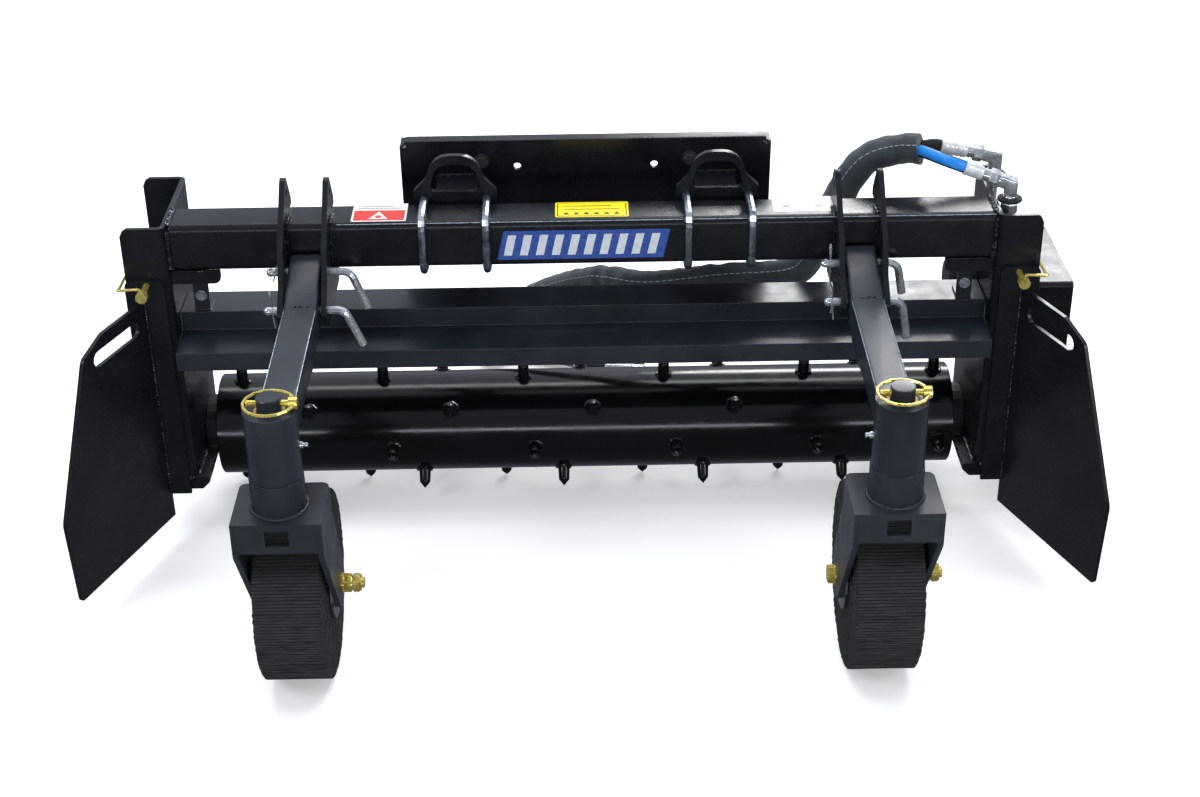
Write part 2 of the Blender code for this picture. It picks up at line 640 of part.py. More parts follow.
def chain_loop(spread):
    """Outline round both sprockets at a distance from their pitch circles."""
    low = Vector((DRUM_Y, DRUM_Z))
    high = Vector((MOTOR_Y, MOTOR_Z))
    big = sprocket_radius(DRUM_TEETH) + spread
    small = sprocket_radius(DRIVE_TEETH) + spread
    line = high - low
    heading = math.atan2(line.y, line.x)
    lean = math.acos((big - small) / line.length)
    outline = []
    for step in range(15):
        angle = heading + lean + (math.tau - 2 * lean) * step / 14
        outline.append(low + Vector((math.cos(angle), math.sin(angle))) * big)
    for step in range(9):
        angle = heading - lean + 2 * lean * step / 8
        outline.append(high + Vector((math.cos(angle), math.sin(angle))) * small)
    return outline


def build_drive(paint, steel, iron):
    build_sprocket("driven_sprocket", DRUM_TEETH, (DRUM_Y, DRUM_Z), SHAFT_RADIUS + GAP, steel)
    build_sprocket("drive_sprocket", DRIVE_TEETH, (MOTOR_Y, MOTOR_Z), 0.0095, steel)
    rings = []
    for spread, ends in ((0.0092, (-1, 1)), (0.0045, (1, -1))):
        loop = chain_loop(spread)
        for end in ends:
            rings.append([Vector((SPROCKET_X + end * 0.008, a, b)) for a, b in loop])
    skin("roller_chain", rings, steel, closed=True)
    build_chain_case(paint)
    body = [(0, 0.592), (0.034, 0.592), (0.040, 0.598), (0.040, 0.690), (0.0418, 0.690),
            (0.0418, 0.7056), (0.0220, 0.7056), (0.0220, 0.7135), (0, 0.7135)]
    motor = lathe("motor", body, "X", (0, MOTOR_Y, MOTOR_Z), 20, iron)
    for number, y in enumerate((0.236, 0.280)):
        port = lathe(f"port_{number}", [(0, 0.395), (0.012, 0.395), (0.012, 0.4180), (0, 0.4180)],
                     "Z", (LINE_X, y, 0), 12, iron)
        combine(motor, port, "UNION")


def build_chain_case(paint):
    """Backing plate against the end frame and a pan-shaped cover over the chain."""
    low = (0.1185, 0.0420)
    high = (0.3600, 0.4312)
    outline = fillet([(low[0], low[1], 0.015), (high[0], low[1], 0.06), (high[0], high[1], 0.04),
                      (low[0], high[1], 0.008)], 4)
    plate = prism("chain_case", outline, "X", CASE_INNER, CASE_INNER + 0.003, paint)
    drill(plate, "X", [(DRUM_Y, DRUM_Z)], 0.0215, 0.69, 0.72, 16)
    drill(plate, "X", [(MOTOR_Y, MOTOR_Z)], 0.0228, 0.69, 0.72, 16)
    cover = prism("chain_cover", outline, "X", CASE_INNER + 0.0033, 0.7650, paint)
    wall = 0.003
    inner = fillet([(low[0] + wall, low[1] + wall, 0.012), (high[0] - wall, low[1] + wall, 0.057),
                    (high[0] - wall, high[1] - wall, 0.037), (low[0] + wall, high[1] - wall, 0.005)], 4)
    combine(cover, prism("cover_inside", inner, "X", 0.70, 0.7650 - wall, paint), "DIFFERENCE")
    for number, (y, z) in enumerate(((0.170, 0.390), (0.140, 0.090))):
        head = prism(f"cover_bolt_{number}", hexagon((y, z), 0.0098), "X", 0.7640, 0.7715, paint)
        combine(cover, head, "UNION")


# ---------------------------------------------------------------- shields

def build_shield(side, label, paint, yellow):
    """Flange strip against the end frame with a plate flared outward in front of it."""
    strip = fillet([(side * 0.645, BEAM_TOP - 0.470), (side * 0.706, BEAM_TOP - 0.470),
                    (side * 0.706, BEAM_TOP - 0.084, 0.010), (side * 0.645, BEAM_TOP - 0.084, 0.010)])
    shield = prism(f"side_shield_{label}", strip, "Y", 0.1003, 0.1067, paint)
    along = (side * math.sin(FLARE), -math.cos(FLARE), 0)
    origin = (side * FOLD_X, FOLD_Y, BEAM_TOP)
    outline = fillet([(-0.001, -0.118), (0.116, -0.118, 0.02), (0.169, -0.138, 0.014),
                      (0.270, -0.368, 0.03), (0.262, -0.512, 0.006), (-0.001, -0.512)])
    half = SHIELD_THICK / 2
    flare = slab(f"flare_{label}", outline, origin, along, (0, 0, 1), -half, half, paint)
    combine(shield, flare, "UNION")
    slot = fillet([(0.025, -0.165, 0.0124), (0.145, -0.165, 0.0124), (0.145, -0.140, 0.0124),
                   (0.025, -0.140, 0.0124)], 4)
    tool = slab(f"handle_{label}", slot, origin, along, (0, 0, 1), -0.02, 0.02, paint)
    combine(shield, tool, "DIFFERENCE")
    x = side * SHIELD_PIN_X
    drill(shield, "Y", [(x, SHIELD_PIN_Z)], 0.0053, 0.09, 0.12)
    build_shield_pin(side, label, x, yellow)


def build_shield_pin(side, label, x, yellow):
    """Wire-lock pin along Y, with a bail hinged in its head and reaching over its tip."""
    head = 0.0630
    shaft = [(0, head - 0.006), (0.009, head - 0.006), (0.009, head + 0.006), (0.005, head + 0.006),
             (0.005, 0.1330), (0.0035, 0.1350), (0, 0.1350)]
    pin = lathe(f"shield_pin_{label}", shaft, "Y", (x, 0, SHIELD_PIN_Z), 12, yellow)
    tool = prism(f"pin_eye_{label}", circle((x, head), WIRE_RADIUS + 0.0004, 8), "Z",
                 SHIELD_PIN_Z - 0.02, SHIELD_PIN_Z + 0.02, yellow)
    combine(pin, tool, "DIFFERENCE")
    base = Vector((x, head, SHIELD_PIN_Z))
    shape = ((0, 0, -0.011), (0, 0, 0.013), (0.036, 0.002, 0.010), (0.040, 0.030, 0.0),
             (0.040, 0.078, -0.002), (0, 0.078, 0))
    corners = [base + Vector((side * a, b, c)) for a, b, c in shape]
    path = bend_path(corners, 0.005, 3)
    sweep(f"shield_bail_{label}", path, WIRE_RADIUS, 6, yellow, base)


# ---------------------------------------------------------------- carrier hitch

def plate_face(z):
    """Y of the hitch plate's front face at a height."""
    return PLATE_Y + (BEAM_TOP - z) * math.tan(PLATE_TILT)


def build_hitch_plate(paint):
    """Tilted adapter plate with its top lip and side flanges bent toward the carrier."""
    lean = Vector((0, -math.sin(PLATE_TILT), math.cos(PLATE_TILT)))
    origin = (HITCH_X, PLATE_Y, BEAM_TOP)
    reach = 1 / math.cos(PLATE_TILT)
    low = -0.145 * reach
    high = 0.065 * reach
    face = fillet([(-PLATE_HALF, low, 0.01), (PLATE_HALF, low, 0.01), (PLATE_HALF, high - 0.008),
                   (PLATE_HALF - 0.008, high - 0.008), (PLATE_HALF - 0.008, high),
                   (0.008 - PLATE_HALF, high), (0.008 - PLATE_HALF, high - 0.008),
                   (-PLATE_HALF, high - 0.008)])
    plate = slab("hitch_plate", face, origin, (1, 0, 0), lean, -0.008, 0.0, paint)
    lip = [(-PLATE_HALF + 0.010, high - 0.008), (PLATE_HALF - 0.010, high - 0.008),
           (PLATE_HALF - 0.010, high), (-PLATE_HALF + 0.010, high)]
    combine(plate, slab("lip", lip, origin, (1, 0, 0), lean, -0.020, -0.004, paint), "UNION")
    for side in (-1, 1):
        flange = [(side * PLATE_HALF, low + 0.02), (side * PLATE_HALF, high - 0.012),
                  (side * (PLATE_HALF - 0.008), high - 0.012), (side * (PLATE_HALF - 0.008), low + 0.02)]
        tool = slab(f"flange_{side}", flange, origin, (1, 0, 0), lean, -0.042, -0.004, paint)
        combine(plate, tool, "UNION")
    drill(plate, "Y", [(HITCH_X - 0.109, BEAM_TOP + 0.019), (HITCH_X + 0.109, BEAM_TOP + 0.019)],
          0.006, 0.25, 0.35)


def build_bracket(side, label, paint):
    """Arch-topped clamp plate behind the beam with a square tube back to the adapter plate."""
    x = HITCH_X + side * BRACKET_OFFSET
    shape = [(-0.0645, -0.100), (0.0645, -0.100), (0.0645, 0.0190, 0.006), (0.0440, 0.0400, 0.020),
             (0.0350, 0.0770, 0.034), (-0.0350, 0.0770, 0.034), (-0.0440, 0.0400, 0.020),
             (-0.0645, 0.0190, 0.006)]
    outline = [(x + a, BEAM_TOP + b) for a, b in fillet(shape, 4)]
    bracket = prism(f"clamp_bracket_{label}", outline, "Y", BRACKET_Y, BRACKET_Y + 0.010, paint)
    shape = [(-0.0405, 0.0175, 0.007), (0.0405, 0.0175, 0.007), (0.0300, 0.0620, 0.025),
             (-0.0300, 0.0620, 0.025)]
    window = [(x + a, BEAM_TOP + b) for a, b in fillet(shape, 4)]
    combine(bracket, prism(f"arch_{label}", window, "Y", 0.17, 0.22, paint), "DIFFERENCE")
    top = BEAM_TOP + 0.006
    base = BEAM_TOP - 0.059
    start = BRACKET_Y + 0.009
    outline = [(start, base), (plate_face(base) - 0.0006, base), (plate_face(top) - 0.0006, top), (start, top)]
    combine(bracket, prism(f"strut_{label}", outline, "X", x - 0.0325, x + 0.0325, paint), "UNION")
    bore = [(start + 0.004, base + 0.006), (0.33, base + 0.006), (0.33, top - 0.006), (start + 0.004, top - 0.006)]
    combine(bracket, prism(f"bore_{label}", bore, "X", x - 0.0265, x + 0.0265, paint), "DIFFERENCE")
    high = BEAM_TOP + PIN_RADIUS + GAP
    low = BEAM_BASE - PIN_RADIUS - GAP
    for hand in (-1, 1):
        spot = x + hand * UBOLT_OFFSET
        drill(bracket, "Y", [(spot, high), (spot, low)], PIN_RADIUS + GAP, 0.17, 0.22)


def build_ubolt(number, x, zinc):
    """Square U-bolt round the beam, threaded ends and nuts behind the clamp plate."""
    high = BEAM_TOP + PIN_RADIUS + GAP
    low = BEAM_BASE - PIN_RADIUS - GAP
    front = BEAM_FRONT - PIN_RADIUS - GAP
    path = bend_path([(x, 0.2260, high), (x, front, high), (x, front, low), (x, 0.2260, low)], 0.0172, 4)
    bolt = sweep(f"u_bolt_{number}", path, PIN_RADIUS, 8, zinc, (x, 0.2260, high))
    for label, z in (("high", high), ("low", low)):
        nut = prism(f"ubolt_nut_{number}_{label}", hexagon((x, z), 0.0108), "Y",
                    BRACKET_Y + 0.0103, BRACKET_Y + 0.0213, zinc)
        combine(bolt, nut, "UNION")


# ---------------------------------------------------------------- hydraulic lines

def build_line(name, foot, elbow, ferrule, steel):
    """Rigid line from a motor port up past the beam, with an elbow, nut and crimped end."""
    aim = (ferrule - elbow).normalized()
    tip = ferrule + aim * 0.016
    lower = Vector((foot.x, foot.y, foot.z + 0.030))
    upper = Vector((elbow.x, elbow.y, 0.515))
    path = [foot, foot + Vector((0, 0, 0.012)), foot + Vector((0, 0, 0.0125))]
    radii = [0.0115, 0.0115, 0.0080]
    middle = bend_path([lower, lower + Vector((0, 0, 0.02)), upper - Vector((0, 0, 0.02)), upper], 0.012, 3)
    path += middle
    radii += [0.0080] * len(middle)
    for z, radius in ((0.5537, 0.0080), (0.5540, 0.0190), (0.5595, 0.0190), (0.5600, 0.0115)):
        path.append(Vector((elbow.x, elbow.y, z)))
        radii.append(radius)
    for distance, radius in ((0.006, 0.0115), (0.022, 0.0115), (0.0225, 0.0095), (0.030, 0.0095),
                             (0.0305, 0.0120)):
        path.append(elbow + aim * distance)
        radii.append(radius)
    path.append(tip)
    radii.append(0.0120)
    sweep(name, path, radii, 8, steel)


def build_hoses(rubber, fabric, steel):
    """Two hoses that run in one woven sleeve to a pair of couplers on the ground."""
    sleeve = smooth_route(SLEEVE_KNOTS, 48)
    free_hose("hose_sleeve", sleeve, SLEEVE_RADIUS, 3, fabric)
    mouth = (sleeve[0] - sleeve[1]).normalized()
    tail = (sleeve[-1] - sleeve[-2]).normalized()
    ends = (("front", FRONT_FERRULE, FRONT_ELBOW, -1), ("rear", REAR_FERRULE, REAR_ELBOW, 1))
    for (label, ferrule, elbow, hand), coupler in zip(ends, COUPLER_SPOTS):
        aim = (ferrule - elbow).normalized()
        start = ferrule + aim * 0.0185
        finish = sleeve[0] + mouth * 0.003 + Vector((-mouth.y, mouth.x, 0)) * hand * 0.0118
        bend = (start - finish).length * 0.35
        knots = (start, start + aim * bend, finish + mouth * min(bend, MOUTH_RUN), finish)
        count = max(4, round((finish - start).length / 0.007))
        free_hose(f"hose_{label}", smooth_route(knots, count), HOSE_RADIUS, 2, rubber)
        spot = Vector(coupler)
        leave = sleeve[-1] + tail * 0.003 - Vector((-tail.y, tail.x, 0)) * hand * 0.0112
        knots = (leave, leave + tail * 0.03, spot - COUPLER_RUN * 0.35, spot - COUPLER_RUN * 0.025)
        free_hose(f"hose_tail_{label}", smooth_route(knots, 12), HOSE_RADIUS, 2, rubber)
        run = COUPLER_RUN.normalized()
        shape = ((0.0, 0.0125), (0.020, 0.0125), (0.0205, 0.0142), (0.050, 0.0142), (0.0505, 0.0115),
                 (0.075, 0.0115))
        sweep(f"coupler_{label}", [spot + run * a for a, r in shape], [r for a, r in shape], 10, steel)


def main():
    clear_scene()
    paint = make_material("black_powder_coat", (0.022, 0.024, 0.028), 0.32)
    zinc = make_material("zinc_plate", (0.62, 0.64, 0.66), 0.35, 1.0)
    yellow = make_material("yellow_zinc", (0.72, 0.56, 0.22), 0.32, 1.0)
    steel = make_material("bare_steel", (0.45, 0.45, 0.46), 0.40, 1.0)
    iron = make_material("cast_iron", (0.06, 0.06, 0.065), 0.55, 0.4)
    bronze = make_material("bronze", (0.55, 0.40, 0.22), 0.45, 1.0)
    tread = make_material("laminated_rubber", (0.018, 0.018, 0.019), 0.88)
    rubber = make_material("hose_rubber", (0.020, 0.020, 0.022), 0.60)
    fabric = make_material("woven_sleeve", (0.035, 0.045, 0.055), 0.90)
    build_beam(paint)
    build_hood(paint)
    for side, label in ((-1, "left"), (1, "right")):
        build_channel(side, label, paint)
        build_arm_plates(side, label, paint)
        build_gauge_arm(side, label, paint, bronze)
        build_fork(side, label, paint)
        build_wheel(side, label, tread, steel, yellow)
        build_stem_lock(side, label, yellow)
        build_bearing(side, label, iron)
        build_shield(side, label, paint, yellow)
        build_bracket(side, label, paint)
        start = side * ARM_X - PLATE_OFFSET - 0.022
        finish = side * ARM_X + PLATE_OFFSET + PLATE_THICK / 2
        for where, centre in (("upper", PIVOT), ("lower", LOCK)):
            reach, fall = PIN_HANDLES[label, where]
            build_hitch_pin(label, where, centre, start, finish + reach, fall, zinc)
    build_drum(paint, steel)
    build_drive(paint, steel, iron)
    build_hitch_plate(paint)
    offsets = (-BRACKET_OFFSET - UBOLT_OFFSET, UBOLT_OFFSET - BRACKET_OFFSET,
               BRACKET_OFFSET - UBOLT_OFFSET, BRACKET_OFFSET + UBOLT_OFFSET)
    for number, offset in enumerate(offsets, 1):
        build_ubolt(number, HITCH_X + offset, zinc)
    build_line("motor_line_front", Vector((LINE_X, 0.236, 0.4184)), FRONT_ELBOW, FRONT_FERRULE, zinc)
    build_line("motor_line_rear", Vector((LINE_X, 0.280, 0.4184)), REAR_ELBOW, REAR_FERRULE, zinc)
    build_hoses(rubber, fabric, zinc)


main()
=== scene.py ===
import json
import math
import random

import bmesh
import bpy
from mathutils import Matrix, Vector


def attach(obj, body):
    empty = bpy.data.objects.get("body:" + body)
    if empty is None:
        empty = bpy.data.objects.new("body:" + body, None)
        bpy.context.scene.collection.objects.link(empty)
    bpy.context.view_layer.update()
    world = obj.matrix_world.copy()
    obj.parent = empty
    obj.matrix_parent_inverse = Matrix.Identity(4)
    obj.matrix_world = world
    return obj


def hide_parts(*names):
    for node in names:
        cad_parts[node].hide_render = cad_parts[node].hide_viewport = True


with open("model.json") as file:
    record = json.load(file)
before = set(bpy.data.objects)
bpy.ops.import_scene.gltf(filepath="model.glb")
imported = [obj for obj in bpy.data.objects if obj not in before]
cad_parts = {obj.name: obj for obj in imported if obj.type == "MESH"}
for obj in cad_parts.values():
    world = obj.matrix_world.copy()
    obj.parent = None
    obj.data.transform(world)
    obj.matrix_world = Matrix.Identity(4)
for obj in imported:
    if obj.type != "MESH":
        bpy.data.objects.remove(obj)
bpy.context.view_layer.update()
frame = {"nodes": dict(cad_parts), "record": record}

NODES = frame["nodes"]

# beam: heights of its top and base, and its front face
TOP = 0.5534
BASE = 0.4772
FRONT = 0.115
BEAM_DEPTH = 0.0762

# gauge arms, casters and wheels
ARM_X = 0.424
STEM_Y = -0.335
WHEEL_Y = -0.241
WHEEL_Z = 0.1404
PLATE_OFFSET = 0.033
PIVOT_Y = FRONT - 0.022
LOCK_Y = FRONT - 0.080

# carrier hitch
HITCH_X = 0.0068
BRACKET_OFFSET = 0.2035
UBOLT_OFFSET = 0.0487
PLATE_Y = 0.2850
PLATE_TILT = math.radians(4.0)

# drum
DRUM_Y = 0.269
DRUM_RADIUS = 0.08414
DRUM_HALF = 0.612
DRUM_BORE = 0.0766
TOOTH_HEIGHT = 0.033
TOOTH_PITCH = 0.235
ROW_START = math.radians(-4.0)
ROW_ANGLE = math.radians(45.0)
DRUM_Z = (DRUM_RADIUS + TOOTH_HEIGHT) * math.cos(ROW_START)
ROW_SHIFT = (-0.085, 0.012, -0.103, -0.008, -0.066, -0.198, -0.138, -0.038)

# hydraulic lines
LINE_X = 0.6605
random.seed(7)


# ------------------------------------------------------------ node helpers

class Nodes:
    """Small helper for building one material."""

    def __init__(self, name):
        self.material = bpy.data.materials.new(name)
        self.material.use_nodes = True
        self.tree = self.material.node_tree
        self.shader = self.tree.nodes["Principled BSDF"]
        self.coords = self.tree.nodes.new("ShaderNodeTexCoord")

    def add(self, kind, **inputs):
        node = self.tree.nodes.new(kind)
        for key, value in inputs.items():
            node.inputs[key.replace("_", " ")].default_value = value
        return node

    def link(self, source, target):
        self.tree.links.new(source, target)

    def noise(self, scale, detail=4.0, roughness=0.6, stretch=None, coords="Object"):
        node = self.add("ShaderNodeTexNoise", Scale=scale, Detail=detail, Roughness=roughness)
        source = self.coords.outputs[coords]
        if stretch:
            mapping = self.add("ShaderNodeMapping")
            mapping.inputs["Scale"].default_value = stretch
            self.link(source, mapping.inputs["Vector"])
            source = mapping.outputs["Vector"]
        self.link(source, node.inputs["Vector"])
        return node.outputs["Fac"]

    def ramp(self, source, stops):
        node = self.tree.nodes.new("ShaderNodeValToRGB")
        ramp = node.color_ramp
        while len(ramp.elements) < len(stops):
            ramp.elements.new(0.5)
        for element, (position, colour) in zip(ramp.elements, stops):
            element.position = position
            element.color = (*colour, 1.0)
        self.link(source, node.inputs["Fac"])
        return node.outputs["Color"]

    def range(self, source, low, high, start=0.3, end=0.7):
        node = self.add("ShaderNodeMapRange")
        node.inputs["From Min"].default_value = start
        node.inputs["From Max"].default_value = end
        node.inputs["To Min"].default_value = low
        node.inputs["To Max"].default_value = high
        self.link(source, node.inputs["Value"])
        return node.outputs["Result"]

    def bump(self, source, strength, distance, before=None):
        node = self.add("ShaderNodeBump", Strength=strength, Distance=distance)
        self.link(source, node.inputs["Height"])
        if before is not None:
            self.link(before, node.inputs["Normal"])
        return node.outputs["Normal"]


def powder_coat(name, low=(0.0030, 0.0036, 0.0050), high=(0.0080, 0.0095, 0.0130), rough=(0.20, 0.36),
                specular=0.40):
    n = Nodes(name)
    s = n.shader
    cloud = n.noise(7.0, 5.0, 0.62)
    n.link(n.ramp(cloud, [(0.32, low), (0.70, high)]), s.inputs["Base Color"])
    n.link(n.range(n.noise(24.0, 6.0, 0.7), *rough), s.inputs["Roughness"])
    peel = n.bump(n.noise(650.0, 2.0, 0.5), 0.05, 0.0005)
    n.link(n.bump(n.noise(30.0, 3.0, 0.5), 0.04, 0.0020, peel), s.inputs["Normal"])
    s.inputs["Specular IOR Level"].default_value = specular
    return n.material


def plated(name, low, high, rough, scale=45.0, metallic=1.0):
    """Plated steel: cloudy passivation, fine scratches and a soft orange peel."""
    n = Nodes(name)
    s = n.shader
    s.inputs["Metallic"].default_value = metallic
    cloud = n.noise(scale, 5.0, 0.6)
    n.link(n.ramp(cloud, [(0.34, low), (0.66, high)]), s.inputs["Base Color"])
    n.link(n.range(n.noise(scale * 2.3, 5.0, 0.7), *rough), s.inputs["Roughness"])
    n.link(n.bump(n.noise(scale * 9, 3.0, 0.5), 0.05, 0.0004), s.inputs["Normal"])
    return n.material


def weld_metal():
    n = Nodes("weld_bead")
    s = n.shader
    speck = n.noise(330.0, 3.0, 0.7)
    shade = n.ramp(speck, [(0.52, (0.006, 0.007, 0.009)), (0.62, (0.40, 0.43, 0.48))])
    n.link(shade, s.inputs["Base Color"])
    n.link(n.range(speck, 0.18, 0.42), s.inputs["Roughness"])
    s.inputs["Metallic"].default_value = 0.45
    n.link(n.bump(n.noise(600.0, 3.0, 0.6), 0.4, 0.0008), s.inputs["Normal"])
    return n.material


def rubber(name, low, high, scale, stretch=None, bump=0.5):
    n = Nodes(name)
    s = n.shader
    grain = n.noise(scale, 8.0, 0.72, stretch)
    n.link(n.ramp(grain, [(0.35, low), (0.72, high)]), s.inputs["Base Color"])
    n.link(n.range(grain, 0.62, 0.90), s.inputs["Roughness"])
    n.link(n.bump(grain, bump, 0.0012), s.inputs["Normal"])
    return n.material


def woven(name):
    """Slate nylon weave that follows the sleeve's own length and girth."""
    n = Nodes(name)
    s = n.shader
    mapping = n.add("ShaderNodeMapping")
    n.link(n.coords.outputs["UV"], mapping.inputs["Vector"])
    checks = []
    for direction in ("X", "Y"):
        wave = n.add("ShaderNodeTexWave", Scale=0.5, Distortion=0.6)
        wave.bands_direction = direction
        wave.inputs["Detail"].default_value = 1.0
        n.link(mapping.outputs["Vector"], wave.inputs["Vector"])
        checks.append(wave.outputs["Fac"])
    mapping.inputs["Scale"].default_value = (560.0, 560.0, 1.0)
    product = n.tree.nodes.new("ShaderNodeMath")
    product.operation = "MULTIPLY"
    n.link(checks[0], product.inputs[0])
    n.link(checks[1], product.inputs[1])
    shade = n.noise(26.0, 5.0, 0.65)
    base = n.ramp(shade, [(0.30, (0.020, 0.026, 0.034)), (0.72, (0.055, 0.068, 0.082))])
    n.link(base, s.inputs["Base Color"])
    s.inputs["Roughness"].default_value = 0.78
    s.inputs["Sheen Weight"].default_value = 0.35
    s.inputs["Sheen Roughness"].default_value = 0.4
    fold = n.bump(n.noise(60.0, 3.0, 0.5), 0.35, 0.004)
    n.link(n.bump(product.outputs["Value"], 0.55, 0.0008, fold), s.inputs["Normal"])
    return n.material


def flat_finish(name, colour, rough, scale=80.0, spread=0.12):
    """Printed or plastic surface with a faint mottling and a slight texture."""
    n = Nodes(name)
    s = n.shader
    darker = tuple(c * (1 - spread) for c in colour)
    n.link(n.ramp(n.noise(scale, 4.0, 0.6), [(0.3, darker), (0.7, colour)]), s.inputs["Base Color"])
    n.link(n.range(n.noise(scale * 2, 3.0, 0.6), rough * 0.85, rough * 1.15), s.inputs["Roughness"])
    n.link(n.bump(n.noise(scale * 12, 2.0, 0.5), 0.04, 0.0004), s.inputs["Normal"])
    return n.material


PAINT = powder_coat("powder_black")
# lighter, bluish copy of the black powder coat: the raised base colour is painted sheen for the reflection on
# the hood, arms and stem caps
PAINTED_SHEEN = powder_coat("powder_black_painted_sheen", (0.0070, 0.0092, 0.0140), (0.0190, 0.0245, 0.0360),
                    (0.24, 0.42), 0.60)
# bluish-grey copy of the black powder coat: painted reflection on the forks, hub lips and collar welds, which
# are the same black paint
PAINTED_REFLECTION = powder_coat("powder_black_painted_reflection", (0.0100, 0.0118, 0.0160), (0.0210, 0.0255, 0.0345), (0.30, 0.46), 0.55)
# bright bluish metallic colour for thin strips along rounded edges: a painted edge highlight
EDGE_HIGHLIGHT = plated("painted_edge_highlight", (0.16, 0.19, 0.24), (0.52, 0.58, 0.66), (0.26, 0.42), 120.0, 0.6)
GLOSS = powder_coat("powder_black_gloss", (0.0016, 0.0018, 0.0022), (0.0035, 0.0040, 0.0050),
                    (0.10, 0.22), 0.45)
ZINC = plated("zinc_bright", (0.50, 0.53, 0.57), (0.88, 0.90, 0.92), (0.14, 0.30), 45.0, 0.85)
GALV = plated("zinc_mottled", (0.22, 0.28, 0.36), (0.76, 0.80, 0.86), (0.22, 0.40), 70.0)
YELLOW = plated("zinc_yellow", (0.66, 0.50, 0.08), (0.95, 0.82, 0.26), (0.18, 0.32), 60.0, 0.80)
STEEL = plated("steel_bare", (0.16, 0.16, 0.17), (0.50, 0.50, 0.52), (0.30, 0.50))
IRON = flat_finish("iron_black", (0.022, 0.023, 0.026), 0.5, 40.0, 0.4)
BRONZE = plated("bronze", (0.30, 0.18, 0.07), (0.62, 0.44, 0.22), (0.30, 0.45))
TYRE = rubber("tyre_laminate", (0.006, 0.006, 0.007), (0.035, 0.035, 0.037), 260.0, (0.12, 1.0, 1.0), 0.9)
TYRE_SIDE = rubber("tyre_side", (0.007, 0.007, 0.008), (0.060, 0.060, 0.062), 210.0, None, 1.0)
HOSE = rubber("hose_black", (0.006, 0.006, 0.007), (0.018, 0.019, 0.021), 160.0, None, 0.15)
FABRIC = woven("sleeve_weave")
THREAD = flat_finish("seam_thread", (0.34, 0.37, 0.41), 0.7)
WELD = weld_metal()
BEAD_PAINT = powder_coat("bead_paint", (0.0020, 0.0023, 0.0030), (0.0060, 0.0070, 0.0090), (0.10, 0.22), 0.55)
SILVER_METAL = plated("zinc_satin", (0.60, 0.62, 0.64), (0.88, 0.89, 0.90), (0.26, 0.40), 80.0, 0.45)
WHITE = flat_finish("label_white", (0.78, 0.78, 0.77), 0.30)
RED = flat_finish("label_red", (0.62, 0.035, 0.022), 0.30)
INK = flat_finish("label_ink", (0.018, 0.018, 0.020), 0.32)
AMBER = flat_finish("label_yellow", (0.90, 0.72, 0.008), 0.30)
ORANGE = flat_finish("label_orange", (0.80, 0.22, 0.02), 0.30)
SILVER = flat_finish("label_silver", (0.55, 0.58, 0.62), 0.26)
BLUE = flat_finish("label_blue", (0.018, 0.065, 0.30), 0.28)
AZURE = flat_finish("hose_azure", (0.004, 0.215, 0.70), 0.38)


# ------------------------------------------------------------ mesh helpers

def add_object(name, data, material, body, smooth=True):
    mesh = bpy.data.meshes.new(name)
    bmesh.ops.recalc_face_normals(data, faces=data.faces)
    data.to_mesh(mesh)
    data.free()
    if smooth:
        mesh.shade_smooth()
        mesh.set_sharp_from_angle(angle=math.radians(38))
    materials = material if isinstance(material, list) else [material]
    for one in materials:
        mesh.materials.append(one)
    piece = bpy.data.objects.new(name, mesh)
    bpy.context.scene.collection.objects.link(piece)
    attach(piece, body)
    return piece


def tube_rings(path, radii, sides):
    points = [Vector(p) for p in path]
    count = len(points)
    side = None
    rings = []
    for i, point in enumerate(points):
        before = points[max(0, i - 1)]
        after = points[min(count - 1, i + 1)]
        ahead = (after - before).normalized()
        if side is None:
            guess = Vector((0, 0, 1)) if abs(ahead.z) < 0.9 else Vector((1, 0, 0))
            side = guess.cross(ahead)
        side = (side - ahead * side.dot(ahead)).normalized()
        other = ahead.cross(side)
        ring = []
        for k in range(sides):
            angle = math.tau * k / sides
            radius = radii(i, angle) if callable(radii) else (radii[i] if isinstance(radii, list) else radii)
            ring.append(point + (side * math.cos(angle) + other * math.sin(angle)) * radius)
        rings.append(ring)
    return rings


def skin_into(data, rings, caps=True, closed=False):
    loops = [[data.verts.new(p) for p in ring] for ring in rings]
    if caps and not closed:
        data.faces.new(loops[0])
        data.faces.new(loops[-1])
    pairs = list(zip(loops, loops[1:]))
    if closed:
        pairs.append((loops[-1], loops[0]))
    for one, two in pairs:
        for i in range(len(one)):
            j = (i + 1) % len(one)
            data.faces.new((one[i], one[j], two[j], two[i]))
    return loops


def tube(name, path, radii, sides, material, body):
    data = bmesh.new()
    skin_into(data, tube_rings(path, radii, sides))
    return add_object(name, data, material, body)


def turned(data, profile, origin, axis, sides, start=0.0, closed=False):
    """Turn (distance, radius) pairs about an axis through the origin."""
    axis = Vector(axis).normalized()
    turn = axis.to_track_quat("Z", "X").to_matrix()
    rings = []
    for along, radius in profile:
        rings.append([Vector(origin) + turn @ Vector((radius * math.cos(start + math.tau * k / sides),
                                                      radius * math.sin(start + math.tau * k / sides), along))
                      for k in range(sides)])
    return skin_into(data, rings, closed=closed)


def hex_nut(data, origin, axis, flats, height):
    radius = flats / math.sqrt(3)
    chamfer = radius * 0.90
    turned(data, [(0, chamfer), (height * 0.14, radius), (height * 0.86, radius), (height, chamfer)],
           origin, axis, 6, 0.3)


def washer(data, origin, axis, radius, height):
    turned(data, [(0, radius), (height, radius)], origin, axis, 20)


def thread(data, origin, axis, radius, length, pitch=0.0018):
    count = max(2, int(length / pitch))
    profile = []
    for i in range(count):
        profile.append((i * pitch, radius * 0.90))
        profile.append((i * pitch + pitch / 2, radius))
    turned(data, profile, origin, axis, 14)


